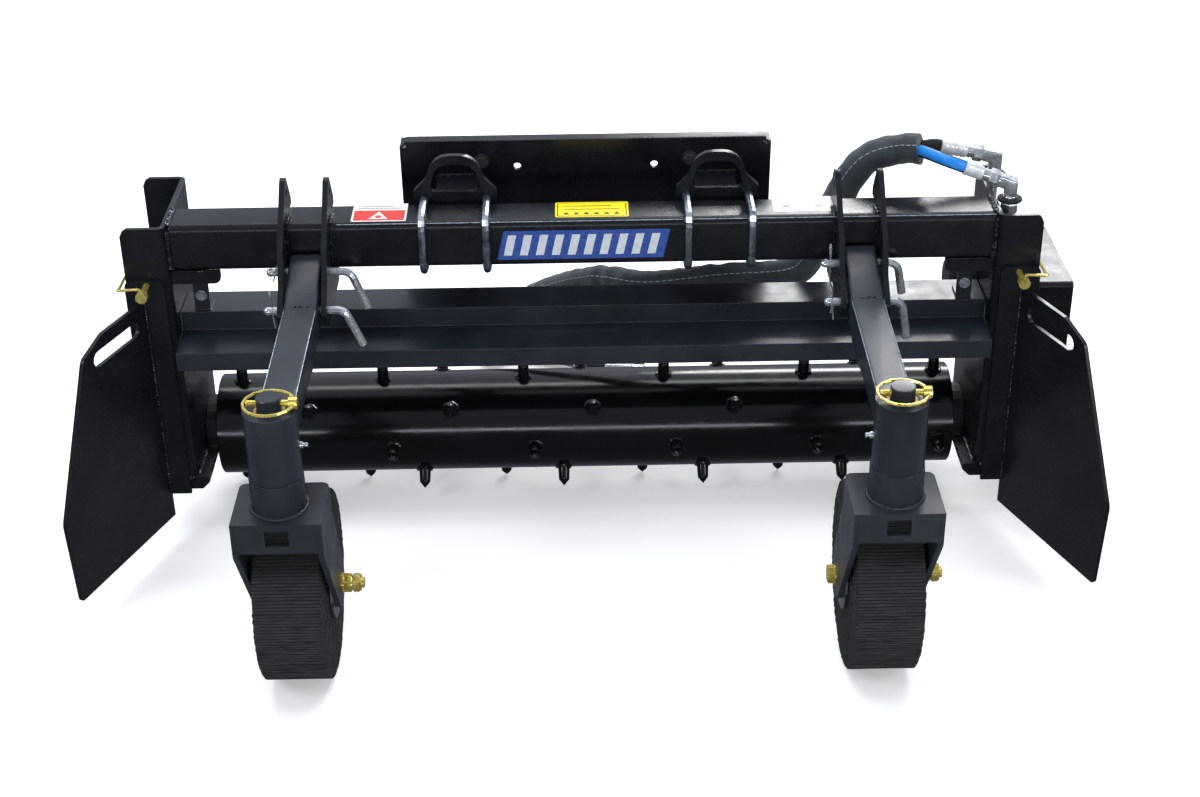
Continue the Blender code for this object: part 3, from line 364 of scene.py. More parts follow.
def ripple_rings(points, width, sides, closed=False):
    """Rings of a weld bead whose width ripples along its path."""
    count = len(points)
    jitter = [random.uniform(0.86, 1.12) for _ in points]

    def radius(i, angle):
        taper = 1.0 if closed else min(1.0, 0.45 + min(i, count - 1 - i) * 0.14)
        return width * taper * jitter[i] * (0.86 + 0.16 * math.cos(i * 1.55))

    if not closed:
        return tube_rings(points, radius, sides)
    wrapped = [points[-1]] + list(points) + [points[0]]
    rings = tube_rings(wrapped, lambda i, angle: radius((i - 1) % count, angle), sides)
    return rings[1:-1]


def bead(name, path, width, body, material=None):
    """Rippled weld bead along straight runs between the points."""
    points = [Vector(p) for p in path]
    fine = []
    for a, b in zip(points, points[1:]):
        steps = max(2, int((b - a).length / 0.0011))
        fine += [a.lerp(b, i / steps) for i in range(steps)]
    fine.append(points[-1])
    data = bmesh.new()
    skin_into(data, ripple_rings(fine, width, 7))
    return add_object(name, data, material or WELD, body)


def ring_points(centre, radius, axis, count=40, start=0.0, sweep=math.tau):
    turn = Vector(axis).to_track_quat("Z", "X").to_matrix()
    return [Vector(centre) + turn @ Vector((radius * math.cos(start + sweep * i / count),
                                            radius * math.sin(start + sweep * i / count), 0))
            for i in range(count + 1)]


def arc_path(corners, radius, steps=7):
    corners = [Vector(c) for c in corners]
    path = [corners[0]]
    for before, here, after in zip(corners, corners[1:], corners[2:]):
        back = (before - here).normalized()
        ahead = (after - here).normalized()
        half = back.angle(ahead) / 2
        reach = radius / math.tan(half)
        centre = here + (back + ahead).normalized() * (radius / math.sin(half))
        start = (here + back * reach - centre).normalized()
        end = (here + ahead * reach - centre).normalized()
        path += [centre + start.slerp(end, step / steps) * radius for step in range(steps + 1)]
    path.append(corners[-1])
    return path


def smooth_route(knots, count):
    knots = [Vector(knot) for knot in knots]
    padded = [2 * knots[0] - knots[1]] + knots + [2 * knots[-1] - knots[-2]]
    fine = []
    for a, b, c, d in zip(padded, padded[1:], padded[2:], padded[3:]):
        for step in range(24):
            t = step / 24
            fine.append(0.5 * (2 * b + (c - a) * t + (2 * a - 5 * b + 4 * c - d) * t * t
                               + (3 * b - a - 3 * c + d) * t ** 3))
    fine.append(knots[-1])
    lengths = [0.0]
    for one, two in zip(fine, fine[1:]):
        lengths.append(lengths[-1] + (two - one).length)
    route = []
    index = 0
    for step in range(count):
        target = lengths[-1] * step / (count - 1)
        while index < len(fine) - 2 and lengths[index + 1] < target:
            index += 1
        span = lengths[index + 1] - lengths[index]
        route.append(fine[index].lerp(fine[index + 1], (target - lengths[index]) / span))
    return route, lengths[-1]


# ------------------------------------------------------------ camera and cords

def build_camera():
    pitch = math.radians(29.781)
    yaw = math.radians(-0.626)
    roll = math.radians(0.668)
    forward = Vector((-math.sin(yaw) * math.cos(pitch), math.cos(yaw) * math.cos(pitch), -math.sin(pitch)))
    right = Vector((math.cos(yaw), math.sin(yaw), 0.0))
    down = -right.cross(forward)
    right_rolled = right * math.cos(roll) + down * math.sin(roll)
    down_rolled = down * math.cos(roll) - right * math.sin(roll)
    camera = bpy.data.cameras.new("camera")
    camera.sensor_width = 36.0
    camera.lens = 58.41
    camera.clip_start = 0.05
    holder = bpy.data.objects.new("camera", camera)
    bpy.context.scene.collection.objects.link(holder)
    turn = Matrix((right_rolled, -down_rolled, -forward)).transposed().to_4x4()
    holder.matrix_world = Matrix.Translation((-0.0063, -2.5932, 1.7903)) @ turn
    bpy.context.scene.camera = holder


SLEEVE_KNOTS = ((0.5340, 0.2550, 0.6040), (0.4950, 0.2700, 0.5960), (0.4480, 0.2750, 0.5740),
                (0.4110, 0.2750, 0.5124), (0.3800, 0.2750, 0.4350), (0.3450, 0.2750, 0.3830),
                (0.2240, 0.2750, 0.3724), (0.1090, 0.2850, 0.3564), (0.0200, 0.3500, 0.3350),
                (-0.0900, 0.4500, 0.2500), (-0.1700, 0.5500, 0.1200), (-0.1850, 0.6400, 0.0420),
                (-0.1350, 0.6980, 0.0275), (-0.0200, 0.6580, 0.0275))
FRONT_ELBOW = Vector((0.6610, 0.1630, 0.5820))
REAR_ELBOW = Vector((0.6550, 0.2600, 0.5870))
FRONT_FERRULE = Vector((0.6040, 0.1710, 0.6013))
REAR_FERRULE = Vector((0.5825, 0.2616, 0.6019))
COUPLER_SPOTS = ((0.0400, 0.6650, 0.0150), (0.0400, 0.6250, 0.0150))
COUPLER_RUN = Vector((0.0900, -0.0180, 0.0))
MOUTH_RUN = 0.024


def build_sleeve():
    """Woven sleeve round both hoses, wrinkled on the bends, with a stitched seam."""
    route, length = smooth_route(SLEEVE_KNOTS, 420)
    sides = 44
    folds = [(random.uniform(0, math.tau), random.uniform(0.6, 1.3), random.uniform(-2, 2)) for _ in range(6)]

    def radius(i, angle):
        along = length * i / (len(route) - 1)
        flat = 0.0245 - 0.0010 * math.cos(2 * angle + 1.2)
        wrinkle = 0.0
        for k, (phase, size, lean) in enumerate(folds):
            wrinkle += size * math.sin(along * (95 + 31 * k) + phase + lean * math.sin(angle + phase))
        return flat + 0.00034 * wrinkle

    data = bmesh.new()
    rings = tube_rings(route, radius, sides)
    loops = skin_into(data, rings)
    layer = data.loops.layers.uv.new("girth")
    lookup = {}
    for i, loop in enumerate(loops):
        for k, vert in enumerate(loop):
            lookup[vert] = (i, k)
    for face in data.faces:
        places = [lookup[corner.vert] for corner in face.loops]
        wraps = max(k for _, k in places) - min(k for _, k in places) > sides / 2
        for corner, (i, k) in zip(face.loops, places):
            turn = sides if (wraps and k == 0) else k
            corner[layer].uv = (length * i / (len(route) - 1), turn * math.tau * 0.025 / sides)
    sleeve = add_object("sleeve", data, FABRIC, "frame")
    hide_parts("hose_sleeve")
    seam = []
    spot = int(sides * 0.10)
    for ring, point in zip(rings, route):
        outward = (ring[spot] - point).normalized()
        seam.append(ring[spot] + outward * 0.0002)
    stitches = bmesh.new()
    for i in range(0, len(seam) - 3, 3):
        skin_into(stitches, tube_rings(seam[i:i + 3], 0.0007, 6))
    stitch = add_object("sleeve_stitches", stitches, THREAD, "frame")
    return sleeve, stitch, [list(p) for p in route], length


def build_hoses():
    sleeve, stitch, route, length = build_sleeve()
    start = Vector(route[0])
    end = Vector(route[-1])
    mouth = (start - Vector(route[8])).normalized()
    tail = (end - Vector(route[-9])).normalized()
    ends = (("front", FRONT_FERRULE, FRONT_ELBOW, -1), ("rear", REAR_FERRULE, REAR_ELBOW, 1))
    for (label, ferrule, elbow, hand), coupler in zip(ends, COUPLER_SPOTS):
        aim = (ferrule - elbow).normalized()
        first = ferrule + aim * 0.010
        last = start - mouth * 0.010 + Vector((-mouth.y, mouth.x, 0)) * hand * 0.0118
        reach = (first - last).length * 0.35
        near_mouth = last + mouth * min(reach, 0.6 * MOUTH_RUN)
        path, _ = smooth_route((first, first + aim * reach, near_mouth, last), 30)
        hose = tube(f"hose_run_{label}", path, 0.0098, 24, HOSE, "frame")
        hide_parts(f"hose_{label}")
        if label == "front":
            build_stripe(path)
        spot = Vector(coupler)
        leave = end - tail * 0.010 - Vector((-tail.y, tail.x, 0)) * hand * 0.0112
        knots = (leave, leave + tail * 0.04, spot - COUPLER_RUN * 0.35, spot + COUPLER_RUN * 0.02)
        path, _ = smooth_route(knots, 30)
        tail_hose = tube(f"hose_end_{label}", path, 0.0098, 20, HOSE, "frame")
        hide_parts(f"hose_tail_{label}")
        build_coupler(label, spot)


def build_stripe(path):
    """Broad coloured band printed along the hose's front side."""
    rings = []
    for before, here, after in zip(path, path[1:], path[2:]):
        ahead = (after - before).normalized()
        middle = Vector((-0.10, -0.90, 0.42))
        middle = (middle - ahead * middle.dot(ahead)).normalized()
        other = ahead.cross(middle)
        ring = []
        for radius, order in ((0.0103, range(-6, 7)), (0.0096, range(6, -7, -1))):
            for step in order:
                angle = math.radians(8.0 * step)
                ring.append(here + (middle * math.cos(angle) + other * math.sin(angle)) * radius)
        rings.append(ring)
    data = bmesh.new()
    skin_into(data, rings)
    return add_object("hose_stripe", data, AZURE, "frame")


def build_coupler(label, spot):
    run = COUPLER_RUN.normalized()
    data = bmesh.new()
    profile = [(0.0, 0.0112), (0.002, 0.0126), (0.012, 0.0126), (0.0125, 0.0110), (0.016, 0.0110),
               (0.0165, 0.0128), (0.020, 0.0128), (0.0205, 0.0140), (0.030, 0.0140), (0.0305, 0.0132),
               (0.033, 0.0132), (0.0335, 0.0140), (0.050, 0.0140), (0.051, 0.0128), (0.053, 0.0114),
               (0.074, 0.0114), (0.075, 0.0106)]
    turned(data, profile, spot, run, 28)
    piece = add_object(f"quick_coupler_{label}", data, ZINC, "frame")
    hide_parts(f"coupler_{label}")
    return piece


# ------------------------------------------------------------ finishes on CAD nodes

def finish_nodes():
    finishes = {"black_powder_coat": PAINT, "zinc_plate": ZINC, "yellow_zinc": YELLOW, "bare_steel": STEEL,
                "cast_iron": IRON, "bronze": BRONZE, "laminated_rubber": TYRE, "hose_rubber": HOSE,
                "woven_sleeve": FABRIC}
    slots = {row["node"]: row["material_slot"] for row in frame["record"]["subparts"]}
    for name, node in NODES.items():
        material = finishes[slots[name]]
        if name.startswith("u_bolt"):
            material = GALV
        # hood and gauge arms take the lighter copy of the black paint, whose raised base colour is painted
        # sheen
        if name == "hood" or name.startswith("gauge_arm"):
            material = PAINTED_SHEEN
        # forks take the bluish-grey copy of the black paint, a painted reflection
        if name.startswith("caster_fork"):
            material = PAINTED_REFLECTION
        node.data.materials.clear()
        node.data.materials.append(material)
        weld = node.modifiers.new("join", "WELD")
        weld.merge_threshold = 0.00002
        if slots[name] == "black_powder_coat" and name != "drum":
            bevel = node.modifiers.new("edges", "BEVEL")
            bevel.width = 0.0055 if name == "main_beam" else 0.0011
            bevel.segments = 3
            bevel.limit_method = "ANGLE"
            bevel.angle_limit = math.radians(40)
            bevel.harden_normals = False
            normals = node.modifiers.new("normals", "WEIGHTED_NORMAL")
            normals.keep_sharp = False


# ------------------------------------------------------------ drum

def tooth_spots():
    """Root point and outward direction of every tooth."""
    spots = []
    for row, shift in enumerate(ROW_SHIFT):
        angle = ROW_START + ROW_ANGLE * row
        outward = Vector((0, -math.cos(angle), math.sin(angle)))
        for step in range(-3, 4):
            x = shift + step * TOOTH_PITCH
            if abs(x) <= 0.64:
                x = max(-0.585, min(0.585, x))
                spots.append((Vector((x, DRUM_Y, DRUM_Z)) + outward * DRUM_RADIUS, outward))
    return spots


def build_drum():
    """Smooth pipe with end plates, tapered studs and the weld round each root."""
    half = DRUM_HALF
    bore = DRUM_BORE
    profile = [(-half, bore), (-half, DRUM_RADIUS - 0.001), (-half + 0.001, DRUM_RADIUS),
               (half - 0.001, DRUM_RADIUS), (half, DRUM_RADIUS - 0.001), (half, bore), (half - 0.018, bore),
               (half - 0.018, 0.0195), (half - 0.028, 0.0195), (half - 0.028, bore), (0.028 - half, bore),
               (0.028 - half, 0.0195), (0.018 - half, 0.0195), (0.018 - half, bore)]
    data = bmesh.new()
    turned(data, profile, (0, DRUM_Y, DRUM_Z), (1, 0, 0), 120, closed=True)
    pipe = add_object("drum_pipe", data, GLOSS, "drum")
    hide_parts("drum")
    studs = bmesh.new()
    welds = bmesh.new()
    for root, outward in tooth_spots():
        turned(studs, [(-0.004, 0.0098), (0.002, 0.0098), (0.021, 0.0090), (0.0235, 0.0084), (0.0322, 0.0012),
                       (0.0329, 0.0003)], root, outward, 20)
        ring = []
        for point in ring_points(root, 0.0112, outward, 30)[:-1]:
            offset = point - Vector((point.x, DRUM_Y, DRUM_Z))
            ring.append(Vector((point.x, DRUM_Y, DRUM_Z)) + offset.normalized() * (DRUM_RADIUS + 0.0003))
        skin_into(welds, ripple_rings(ring, 0.0036, 7, True), closed=True)
    add_object("drum_studs", studs, GLOSS, "drum")
    add_object("stud_welds", welds, BEAD_PAINT, "drum")


# ------------------------------------------------------------ laminated tyres

def build_tyre(side, label):
    """Solid wheel of rubber planks stacked round the rim, each cut a little differently."""
    centre = Vector((side * ARM_X, WHEEL_Y, WHEEL_Z))
    planks = 180
    half = 0.0490
    data = bmesh.new()
    for k in range(planks):
        angle = math.tau * k / planks
        spread = math.pi / planks * random.uniform(0.86, 0.97)
        outer = 0.1398 - random.uniform(0.0, 0.0008)
        left = -half + random.uniform(0.0, 0.0012)
        right = half - random.uniform(0.0, 0.0012)
        rings = []
        for x, inset in ((left, 0.0022), (left + 0.0016, 0.0), (0.0, random.uniform(0.0, 0.0005)),
                         (right - 0.0016, 0.0), (right, 0.0022)):
            ring = []
            tread = outer - inset
            for radius, turn in ((0.050, -spread), (tread, -spread * 0.90), (tread, spread * 0.90),
                                 (0.050, spread)):
                spot = Vector((x, radius * math.cos(angle + turn), radius * math.sin(angle + turn)))
                ring.append(centre + spot)
            rings.append(ring)
        skin_into(data, rings)
    core = half - 0.003
    turned(data, [(-core, 0.0245), (-core, 0.1368), (core, 0.1368), (core, 0.0245)],
           centre, (1, 0, 0), 90, closed=True)
    tyre = add_object(f"laminated_tyre_{label}", data, TYRE, f"wheel_{label}")
    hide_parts(f"tyre_{label}")
    cords = bmesh.new()
    for k in range(260):
        angle = random.uniform(0, math.tau)
        radius = random.uniform(0.060, 0.130)
        face = random.choice((-1, 1))
        base = centre + Vector((face * (half - 0.0008), radius * math.cos(angle), radius * math.sin(angle)))
        lean = Vector((0, -math.sin(angle), math.cos(angle))) * random.uniform(0.003, 0.009)
        crown = base + Vector((face * 0.0009, 0, 0))
        skin_into(cords, tube_rings([base - lean, crown, base + lean], 0.00055, 5))
    add_object(f"tyre_cords_{label}", cords, TYRE_SIDE, f"wheel_{label}")


# ------------------------------------------------------------ gauge arm details

def build_arm_details(side, label):
    x = side * ARM_X
    arm = f"arm_{label}"
    inner = -side
    nipple = bmesh.new()
    origin = Vector((x + inner * 0.0362, STEM_Y, 0.4340))
    turned(nipple, [(0, 0.0048), (0.0042, 0.0048), (0.0044, 0.0030), (0.0070, 0.0026), (0.0078, 0.0034),
                    (0.0098, 0.0034), (0.0112, 0.0020)], origin, (inner, 0, 0), 12)
    add_object(f"grease_nipple_{label}", nipple, ZINC, arm)
    # hub lip bead in the bluish-grey copy of the black paint: painted reflection
    seam = ring_points((x, STEM_Y, TOP - 0.1664), 0.0368, (0, 0, 1), 80)[:-1]
    rings = bmesh.new()
    skin_into(rings, ripple_rings(seam, 0.0011, 6, True), closed=True)
    add_object(f"hub_lip_{label}", rings, PAINTED_REFLECTION, arm)
    back = STEM_Y + 0.0330
    z = TOP - 0.1150
    half = 0.0254
    corners = [(x - half, back, z - half), (x - half, back, z + half), (x + half, back, z + half),
               (x + half, back, z - half)]
    bead(f"hub_weld_{label}", corners, 0.0030, arm)
    ticks = bmesh.new()
    for row in range(2):
        for k in range(3):
            start = Vector((x - 0.011 + 0.009 * k, 0.002 - 0.017 * row, TOP - 0.0815 + 0.0005))
            slope = 0.35 * (start.y - 0.0055)
            start.z += slope
            skin_into(ticks, tube_rings([start, start + Vector((0.006, 0.001, 0.0004))], 0.0009, 6))
    add_object(f"arm_stitch_{label}", ticks, WELD, arm)
    # thin bright strips along both top edges of the arm: painted highlight
    edges = bmesh.new()
    for hand in (-1, 1):
        corner = x + hand * 0.0236
        line = [(corner, -0.004, TOP - 0.0850), (corner, -0.288, TOP - 0.0909)]
        skin_into(edges, tube_rings(line, 0.0007, 8))
    add_object(f"arm_edge_highlights_{label}", edges, EDGE_HIGHLIGHT, arm)


def build_clip(name, pin, along, upright):
    """Hairpin clip: one leg through the pin, the other sprung round it."""
    pin = Vector(pin)
    shape = ((0.0, -0.030), (0.0, 0.022), (-0.0012, 0.0275), (-0.0050, 0.0300), (-0.0090, 0.0275),
             (-0.0100, 0.0220), (-0.0052, 0.0100), (-0.0088, 0.0), (-0.0052, -0.0090), (-0.0100, -0.0240))
    side = Vector(along)
    up = Vector(upright)
    knots = [pin + side * a + up * b for a, b in shape]
    path, _ = smooth_route(knots, 70)
    tube(name, path, 0.0012, 8, ZINC, "frame")


def build_pin_clips():
    z_upper = TOP - 0.069
    z_lower = TOP - 0.105
    for side, label in ((-1, "left"), (1, "right")):
        start = side * ARM_X - 0.055
        flat = label == "left"
        spots = (("upper", (start + 0.010, PIVOT_Y, z_upper), (0.1, -1.0, 0.0), (0.0, 0.0, 1.0)),
                 ("lower", (start + 0.008, LOCK_Y, z_lower), (0.25, -0.97, 0.0), (-0.06, 0.0, 1.0)))
        for where, pin, along, upright in spots:
            if flat and where == "upper":
                along, upright = (0.0, 0.0, -1.0), (0.05, 1.0, 0.0)
            build_clip(f"hairpin_{label}_{where}", pin, along, upright)
        for where, y, z in (("upper", PIVOT_Y, z_upper), ("lower", LOCK_Y, z_lower)):
            tip = bmesh.new()
            turned(tip, [(-0.0050, 0.0030), (-0.0020, 0.0058), (0.0, 0.00636), (0.004, 0.00640)],
                   (start, y, z), (1, 0, 0), 18)
            add_object(f"pin_tip_{label}_{where}", tip, ZINC, "frame")


# ------------------------------------------------------------ caster details

def build_caster_details(side, label):
    x = side * ARM_X
    body = f"caster_{label}"
    deck = TOP - 0.216
    # collar weld bead in the bluish-grey copy of the black paint: painted reflection
    bead_ring = bmesh.new()
    seam = ring_points((x, STEM_Y, deck + 0.0008), 0.0385, (0, 0, 1), 110)[:-1]
    skin_into(bead_ring, ripple_rings(seam, 0.0034, 8, True), closed=True)
    add_object(f"collar_weld_{label}", bead_ring, PAINTED_REFLECTION, body)
    for hand in (-1, 1):
        wall = x + hand * 0.0548
        line = [(wall, -0.3760, deck - 0.012), (wall, -0.3760, deck - 0.046)]
        painted_bead(f"fork_weld_{label}_{'a' if hand < 0 else 'b'}", line, 0.0026, body)
    painted_bead(f"fork_seam_{label}",
                 [(x - 0.054, -0.3845, deck - 0.0470), (x + 0.054, -0.3845, deck - 0.0470)],
                 0.0009, body)
    hardware = bmesh.new()
    axle = (x, WHEEL_Y, WHEEL_Z)
    washer(hardware, (x + 0.0626, axle[1], axle[2]), (1, 0, 0), 0.0158, 0.0018)
    washer(hardware, (x - 0.0642, axle[1], axle[2]), (1, 0, 0), 0.0158, 0.0016)
    hex_nut(hardware, (x + 0.0645, axle[1], axle[2]), (1, 0, 0), 0.0246, 0.0125)
    hex_nut(hardware, (x + 0.0785, axle[1], axle[2]), (1, 0, 0), 0.0246, 0.0100)
    hex_nut(hardware, (x - 0.0737, axle[1], axle[2]), (1, 0, 0), 0.0246, 0.0100)
    thread(hardware, (x + 0.0880, axle[1], axle[2]), (1, 0, 0), 0.0081, 0.0072)
    add_object(f"axle_hardware_{label}", hardware, YELLOW, body)
    # stem cap in the lighter copy of the black paint with painted sheen
    cap = bmesh.new()
    turned(cap, [(0, 0.0172), (0.0030, 0.0172), (0.0044, 0.0160), (0.0048, 0.0100)],
           (x, STEM_Y, TOP - 0.0482), (0, 0, 1), 40)
    add_object(f"stem_cap_{label}", cap, PAINTED_SHEEN, body)


# ------------------------------------------------------------ frame welds

def painted_bead(name, path, width, body):
    return bead(name, path, width, body, BEAD_PAINT)


def build_frame_welds():
    for side, label in ((-1, "left"), (1, "right")):
        x = side * 0.6338
        back = FRONT + BEAM_DEPTH
        bead(f"beam_end_top_{label}",
             [(x, FRONT + 0.006, TOP + 0.0004), (x, back - 0.006, TOP + 0.0004)], 0.0046, "frame")
        painted_bead(f"beam_end_front_{label}",
                     [(x, FRONT - 0.0004, TOP - 0.006), (x, FRONT - 0.0004, BASE + 0.004)], 0.0046, "frame")
        painted_bead(f"beam_end_back_{label}",
                     [(x, back + 0.0004, TOP - 0.006), (x, back + 0.0004, BASE + 0.004)], 0.0042, "frame")
        foot = 0.1104
        bead(f"foot_weld_{label}",
             [(side * 0.6325, FRONT + 0.004, foot), (side * 0.6325, 0.192, foot)], 0.0036, "frame")
        bead(f"foot_front_{label}", [(side * 0.640, FRONT - 0.0082, foot - 0.001),
                                     (side * 0.686, FRONT - 0.0082, foot - 0.001)], 0.0034, "frame")
        painted_bead(f"tab_weld_{label}", [(side * 0.566, FRONT + 0.0020, BASE - 0.0006),
                                           (side * 0.630, FRONT + 0.0020, BASE - 0.0006)], 0.0022, "frame")
        fold = side * 0.6775
        painted_bead(f"shield_fold_{label}", [(fold, 0.0990, TOP - 0.122), (fold, 0.0990, TOP - 0.466)],
                     0.0026, "frame")
        for where, shift in (("outer", 1), ("inner", -1)):
            wall = side * (ARM_X + shift * PLATE_OFFSET)
            hand = 1 if side < 0 else -1
            spot = wall + hand * 0.0062
            run = [(spot, FRONT + 0.003, TOP - 0.0008), (spot, FRONT + 0.007, TOP + 0.0010),
                   (spot, FRONT + 0.036, TOP + 0.0010)]
            bead(f"plate_weld_{label}_{where}", run, 0.0036, "frame")
            low = [(spot, FRONT - 0.0010, TOP - 0.008), (spot, FRONT - 0.0010, BASE + 0.006)]
            painted_bead(f"plate_edge_{label}_{where}", low, 0.0026, "frame")
        bolts = bmesh.new()
        hex_nut(bolts, (side * 0.600, 0.1490, TOP - 0.134), (0, -1, 0), 0.0130, 0.0050)
        washer(bolts, (side * 0.600, 0.1500, TOP - 0.134), (0, -1, 0), 0.0090, 0.0012)
        add_object(f"hanger_bolt_{label}", bolts, ZINC, "frame")
    # thin bright strip along the beam's top front edge: painted highlight
    rim = bmesh.new()
    line = [(-0.375, FRONT + 0.0017, TOP - 0.0017), (0.632, FRONT + 0.0017, TOP - 0.0017)]
    skin_into(rim, tube_rings(line, 0.0007, 8))
    add_object("beam_edge_highlight", rim, EDGE_HIGHLIGHT, "frame")
    build_bracket_details()


def build_bracket_details():
    for side, label in ((-1, "left"), (1, "right")):
        x = HITCH_X + side * BRACKET_OFFSET
        y = 0.2025
        corners = [(x - 0.034, y, TOP + 0.004), (x + 0.034, y, TOP + 0.004), (x + 0.034, y, TOP - 0.057),
                   (x - 0.034, y, TOP - 0.057), (x - 0.034, y, TOP + 0.004)]
        painted_bead(f"strut_weld_{label}", corners, 0.0032, "frame")
        upper = TOP + 0.006
        lower = TOP - 0.058
        upper_y = plate_y(upper) - 0.0016
        lower_y = plate_y(lower) - 0.0016
        face = [(x - 0.034, upper_y, upper), (x + 0.034, upper_y, upper), (x + 0.034, lower_y, lower),
                (x - 0.034, lower_y, lower), (x - 0.034, upper_y, upper)]
        painted_bead(f"plate_strut_weld_{label}", face, 0.0034, "frame")
        inboard = HITCH_X + side * 0.1650
        z = TOP + 0.030
        bolt = bmesh.new()
        normal = (0.0, -0.9976, -0.0698)
        washer(bolt, (inboard, plate_y(z) - 0.0002, z), normal, 0.0125, 0.0016)
        hex_nut(bolt, (inboard, plate_y(z) - 0.0018, z), normal, 0.0185, 0.0075)
        add_object(f"plate_bolt_{label}", bolt, IRON, "frame")
        for hand in (-1, 1):
            spot = x + hand * UBOLT_OFFSET
            name = f"ubolt_end_{label}_{'a' if hand < 0 else 'b'}"
            ends = bmesh.new()
            for z in (TOP + 0.00665, BASE - 0.00665):
                washer(ends, (spot, 0.2016, z), (0, 1, 0), 0.0125, 0.0016)
                hex_nut(ends, (spot, 0.2030, z), (0, 1, 0), 0.0192, 0.0102)
                thread(ends, (spot, 0.2120, z), (0, 1, 0), 0.0066, 0.0150)
            add_object(name, ends, GALV, "frame")
    for side in (-1, 1):
        corner = bmesh.new()
        place = (HITCH_X + side * 0.2865, plate_y(TOP + 0.057) - 0.0008, TOP + 0.0570)
        turned(corner, [(0, 0.0048), (0.0016, 0.0042), (0.0024, 0.0022)], place, (0, -1, 0), 14)
        label = "left" if side < 0 else "right"
        add_object(f"corner_weld_{label}", corner, WELD, "frame")


def plate_y(z):
    """Front face of the tilted hitch plate at a height."""
    return PLATE_Y + (TOP - z) * math.tan(PLATE_TILT)


def build_cover_bolts():
    for number, (y, z) in enumerate(((0.170, 0.390), (0.140, 0.090))):
        data = bmesh.new()
        washer(data, (0.7652, y, z), (1, 0, 0), 0.0125, 0.0014)
        hex_nut(data, (0.7664, y, z), (1, 0, 0), 0.0180, 0.0064)
        add_object(f"cover_bolt_{number}", data, YELLOW, "frame")
    for side, label in ((-1, "left"), (1, "right")):
        caps = bmesh.new()
        for k in range(4):
            angle = math.pi / 4 + math.pi / 2 * k
            y = DRUM_Y + 0.0260 * math.cos(angle)
            z = DRUM_Z + 0.0260 * math.sin(angle)
            start = 0.6586 if side > 0 else -0.6586
            hex_nut(caps, (start, y, z), (side, 0, 0), 0.0075, 0.0040)
        add_object(f"bearing_screws_{label}", caps, ZINC, "frame")


# ------------------------------------------------------------ hydraulic fittings

def square_rings(path, half, corner, sides=3):
    """Rounded-square section swept along a path with mitred corners."""
    points = [Vector(p) for p in path]
    section = []
    for a, b in ((1, 1), (-1, 1), (-1, -1), (1, -1)):
        for step in range(sides + 1):
            angle = math.atan2(b, a) - math.pi / 4 + math.pi / 2 * step / sides
            section.append((a * (half - corner) + corner * math.cos(angle),
                            b * (half - corner) + corner * math.sin(angle)))
    lines = [(b - a).normalized() for a, b in zip(points, points[1:])]
    across = lines[0].cross(lines[-1]).normalized()
    rings = []
    for i, point in enumerate(points):
        before = lines[max(0, i - 1)]
        after = lines[min(len(lines) - 1, i)]
        normal = (before + after).normalized()
        flat = across.cross(normal)
        stretch = 1 / max(0.3, normal.dot(before))
        rings.append([point + across * a + flat * b * stretch for a, b in section])
    return rings


def build_fitting(label, port, elbow, ferrule, flats):
    """Rigid line, bulkhead nut, seal ring, forged elbow, swivel nut and crimped ferrule."""
    aim = (ferrule - elbow).normalized()
    tip = (ferrule - elbow).length + 0.016
    lower = Vector((port[0], port[1], 0.4184))
    route = arc_path([lower, lower + Vector((0, 0, 0.045)), Vector((elbow.x, elbow.y, 0.500)),
                      Vector((elbow.x, elbow.y, 0.556))], 0.014)
    line = tube(f"rigid_line_{label}", route, 0.0078, 24, ZINC, "frame")
    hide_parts(f"motor_line_{label}")
    nuts = bmesh.new()
    hex_nut(nuts, (lower.x, lower.y, 0.4186), (0, 0, 1), 0.0225, 0.0130)
    hex_nut(nuts, (elbow.x, elbow.y, 0.5360), (0, 0, 1), flats, 0.0160)
    hex_nut(nuts, elbow + aim * 0.0215, aim, 0.0236, 0.0150)
    turned(nuts, [(0, 0.0096), (0.0062, 0.0096), (0.0064, 0.0108), (0.0082, 0.0108), (0.0084, 0.0090),
                  (0.0120, 0.0090)], elbow + aim * 0.0362, aim, 24)
    add_object(f"line_nuts_{label}", nuts, ZINC, "frame")
    seal = bmesh.new()
    turned(seal, [(0, 0.0182), (0.0012, 0.0192), (0.0040, 0.0192), (0.0052, 0.0180)],
           (elbow.x, elbow.y, 0.5542), (0, 0, 1), 40)
    add_object(f"seal_ring_{label}", seal, HOSE, "frame")
    block = bmesh.new()
    skin_into(block, square_rings([(elbow.x, elbow.y, 0.5630), elbow, elbow + aim * 0.0200], 0.0100, 0.0036))
    turned(block, [(0, 0.0118), (0.0030, 0.0124), (0.0052, 0.0112)],
           (elbow.x, elbow.y, 0.5592), (0, 0, 1), 28)
    turned(block, [(0, 0.0104), (0.0036, 0.0104)], elbow + aim * 0.0185, aim, 28)
    forged = add_object(f"forged_elbow_{label}", block, ZINC, "frame")
    soften(forged, 0.0009)
    crimp = bmesh.new()
    start = 0.0470
    run = tip - start
    profile = [(0, 0.0098), (0.0010, 0.0108)]
    for k in range(5):
        base = 0.003 + (run - 0.007) * k / 5
        profile += [(base, 0.0109), (base + (run - 0.007) / 10, 0.0116), (base + (run - 0.007) / 5.5, 0.0116)]
    profile += [(run - 0.0030, 0.0118), (run - 0.0008, 0.0118), (run, 0.0106)]
    turned(crimp, profile, elbow + aim * start, aim, 16)
    add_object(f"crimped_ferrule_{label}", crimp, SILVER_METAL, "frame")


def soften(piece, width):
    modifier = piece.modifiers.new("edges", "BEVEL")
    modifier.width = width
    modifier.segments = 2
    modifier.limit_method = "ANGLE"
    modifier.angle_limit = math.radians(35)


# ------------------------------------------------------------ generic decals

